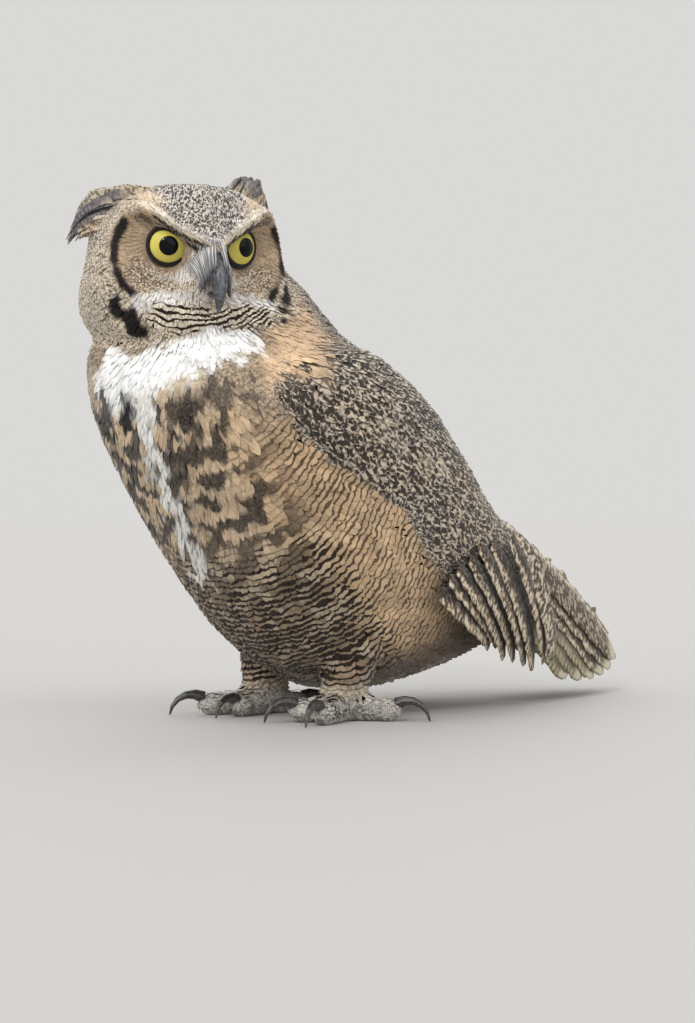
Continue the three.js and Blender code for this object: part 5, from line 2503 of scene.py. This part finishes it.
class FacePlumes:
    """Fine feathers that stand free of the face: brows over the eyes and bristles at the bill."""

    BROWS = 80
    BRISTLES = 150

    def __init__(self, form: Form, skin: Skin) -> None:
        """Keeps the head that they grow on."""
        self.form, self.skin, self.head = form, skin, form.head

    def build(self, finish: Material) -> None:
        """Makes the brows and the bristles of both sides.

        Args:
            finish: their material.
        """
        brows, bristles = (Plume(self.form, self.skin, SEED + n) for n in (11, 12))
        for side in (-1, 1):
            for n in range(self.BROWS):
                self._brow(brows, side, n / self.BROWS)
            for _ in range(self.BRISTLES):
                self._bristle(bristles, side)
        brows.build("brow_feathers", finish, "face_plumage")
        bristles.build("bill_bristles", finish, "face_plumage")

    def _brow(self, plume: Plume, side: int, u: float) -> None:
        """Adds one feather along the brow, over the top of the eye.

        Args:
            plume: the brows.
            side: -1 or 1.
            u: how far out along the brow, from 0 to 1.
        """
        rng = plume.rng
        row = rng.uniform(-1, 1)
        x = 1 + 27 * u + 9 * np.array([0, 0.5, 1.0])
        z = self.head.brow_line(x) + 1.5 * row - 1.2 + np.array([0, 0.4, 1.0 + 0.8 * rng.normal()])
        y = self.head.depth(x, z) + np.array([-1.4, 0.9, 1.1]) - 0.6 * abs(row)
        # the lower brow feathers are dark brown: painted shade under the brow's overhang
        pale = linear("#d6c8b2" if row > -0.1 else "#3d312a") * rng.uniform(0.55, 1.0)
        line = columns(side * x, y, z)
        plume.add(line, np.array([0, 1.0, 0.35]), rng.uniform(1.1, 2.0), [pale, pale, pale * 0.7], 0.25)

    def _bristle(self, plume: Plume, side: int) -> None:
        """Adds one bristle, from beside the bill's base forward and down along it.

        Args:
            plume: the bristles.
            side: -1 or 1.
        """
        rng = plume.rng
        a, b = rng.uniform(-0.25, 1), rng.uniform()
        x, z = 3.5 + 9.5 * a, 4 - 14 * max(a, 0) + 3 * b
        start = np.array([x, self.head.depth(np.array([x]), np.array([z]))[0] - 1, z])
        middle = np.array([4.4 + 6.7 * a, 61.5 - 8.5 * a + 1.5 * b, -4 - 12 * max(a, 0)])
        end = np.array([4.0 + 5.0 * a, 66 - 10 * a, -11 - 13 * max(a, 0) - 5 * b])
        knots = (np.stack([start, middle, end]) + 0.5 * rng.normal(size=(3, 3))) * [side, 1, 1]
        pale = linear("#dad9d7") * rng.uniform(0.25, 1.0)
        dark = linear("#4b4a50")
        out = np.array([side * 1.0, 0.9, 0.2])
        plume.add(knots, out, rng.uniform(0.6, 1.1), [pale, pale, pale * 0.5 + dark * 0.5, dark], 0.0)


# ---------------------------------------------------------------- studio
@dataclass(frozen=True)
class Studio:
    """A pale floor, soft lights and a camera at the owl's breast height."""

    CORNERS = ((-1, -1), (1, -1), (1, 1), (-1, 1))

    azimuth: float = 45.0
    distance: float = 1.5
    height: float = 0.134
    lateral: float = 0.0323
    lens: float = 80.94
    floor: str = "#b9b8b6"
    floor_half: float = 30.0
    room: str = "#e9e8e6"
    room_strength: float = 0.86
    # where each light comes from, the width of its source in degrees, and its strength
    lights: tuple[tuple[tuple[float, float, float], float, float], ...] = (
        ((0.44, -0.96, 0.58), 7, 0.5),
        ((0.3, -1.4, 1.3), 50, 1.2),
        ((1.6, -0.1, 1.0), 70, 0.8),
        ((-0.9, 0.9, 1.2), 60, 0.7),
    )

    def build(self, feet: Array) -> None:
        """Sets up the camera, the floor, the lights and the pale world.

        Args:
            feet: the floor point between the ankles, in metres.
        """
        scene = bpy.context.scene
        scene.view_settings.view_transform = "Standard"
        turn = math.radians(self.azimuth)
        away = Vector((math.sin(turn), -math.cos(turn), 0))
        right = Vector((math.cos(turn), math.sin(turn), 0))
        camera = bpy.data.objects.new("camera", bpy.data.cameras.new("camera"))
        camera.location = Vector(feet) + away * self.distance + right * self.lateral
        camera.location.z = self.height
        camera.rotation_euler = (math.pi / 2, 0, turn)
        camera.data.lens = self.lens
        camera.data.sensor_width = 36
        camera.data.clip_start = 0.05
        scene.collection.objects.link(camera)
        scene.camera = camera
        self._floor()
        for n, (where, width, power) in enumerate(self.lights):
            lamp = bpy.data.lights.new(f"soft_light_{n}", "SUN")
            lamp.angle, lamp.energy = math.radians(width), power
            light = bpy.data.objects.new(f"soft_light_{n}", lamp)
            light.location = where
            light.rotation_euler = (-Vector(where)).to_track_quat("-Z", "Y").to_euler()
            scene.collection.objects.link(light)
        world = bpy.data.worlds.new("pale_room")
        world.use_nodes = True
        background = world.node_tree.nodes["Background"].inputs
        background[0].default_value = rgba(self.room)
        background[1].default_value = self.room_strength
        scene.world = world

    def _floor(self) -> None:
        """A wide matt floor."""
        mesh = bpy.data.meshes.new("floor")
        corners = [(x * self.floor_half, y * self.floor_half, 0) for x, y in self.CORNERS]
        mesh.from_pydata(corners, [], [(0, 1, 2, 3)])
        floor = bpy.data.objects.new("floor", mesh)
        bpy.context.scene.collection.objects.link(floor)
        g = Graph("painted_floor")
        shader = g.add("BsdfPrincipled", {"Base Color": self.floor, "Roughness": 0.8})
        mesh.materials.append(g.finish(shader))


def main() -> None:
    """Builds the owl piece by piece and sets up the studio."""
    logging.basicConfig(level=logging.INFO, format="%(name)s %(message)s")
    form = Form()
    log.info("form: %d points", len(form.surface.points))
    markings = Markings(form)
    skin = Skin(form, markings)
    buff = Plumage("contour_feathers_barbed_keratin").material()
    mottled = Plumage("wing_feathers_mottled_keratin", fleck_mm=2.7).material()
    small = Plumage("face_feathers_soft_keratin", bar_mm=3.6, bar_share=0.5, fleck_dark="#3f3732").material()
    dress(skin.piece, buff, "barred_plumage", "head", *Form.SOFT)
    coat = Coat(form, markings, skin)
    coat.grow("face_feathers", (Region.DISC, Region.LORE, Region.CHIN), 0, small, "face_plumage")
    coat.grow("crown_feathers", (Region.CROWN,), 0, small, "face_plumage")
    coat.grow("cheek_feathers", (Region.CHEEK,), 0, small, "face_plumage")
    coat.grow("neck_feathers", (Region.RUFF, Region.BIB), 0, buff, "buff_plumage")
    coat.grow("breast_feathers", (Region.BREAST,), 0, buff, "barred_plumage")
    coat.grow("back_feathers", (Region.BACK,), 0, mottled, "mottled_plumage")
    coat.grow("tail_coverts", (Region.RUMP, Region.VENT), 0, mottled, "mottled_plumage")
    for word, side in (("left", 1), ("right", -1)):
        coat.grow(f"flank_feathers_{word}", (Region.FLANK, Region.BELLY), side, buff, "barred_plumage")
        wing = (f"wing_coverts_{word}", (Region.WING,), side, mottled, "mottled_plumage")
        coat.grow(*wing, f"wing_{word}")
        coat.grow(f"leg_feathers_{word}", (Region.LEG, Region.TOE), side, small, "foot_plumage")
    long = LongFeathers(form, skin)
    for word, side in (("left", 1), ("right", -1)):
        blades = FLIGHT.blades(side, form.origin) + TERTIALS.blades(side, form.origin)
        long.build(f"flight_feathers_{word}", blades, mottled, "mottled_plumage")
    tuft = Plumage("tuft_feathers_soft_keratin", fleck_mm=1.8).material()
    for ear in EAR_TUFTS:
        ear.build(form, skin, tuft)
    FacePlumes(form, skin).build(tuft)
    long.build("tail_feathers", Tail().blades(form.origin), mottled, "mottled_plumage", "tail")
    Eyes(form.head).build()
    Bill(form.head).build(Horn("bill_slate_horn", "#2b2c30", "#626469").material())
    claw = Horn("claw_black_horn", "#1d1b1b", "#4a4744", 2.0, 0.3).material()
    for word in ("left", "right"):
        for digit in range(1, 5):
            Claw(f"claw_{word}_{digit}").build(claw)
    Studio().build((form.origin * MM).tolist())


if __name__ == "__main__":
    main()
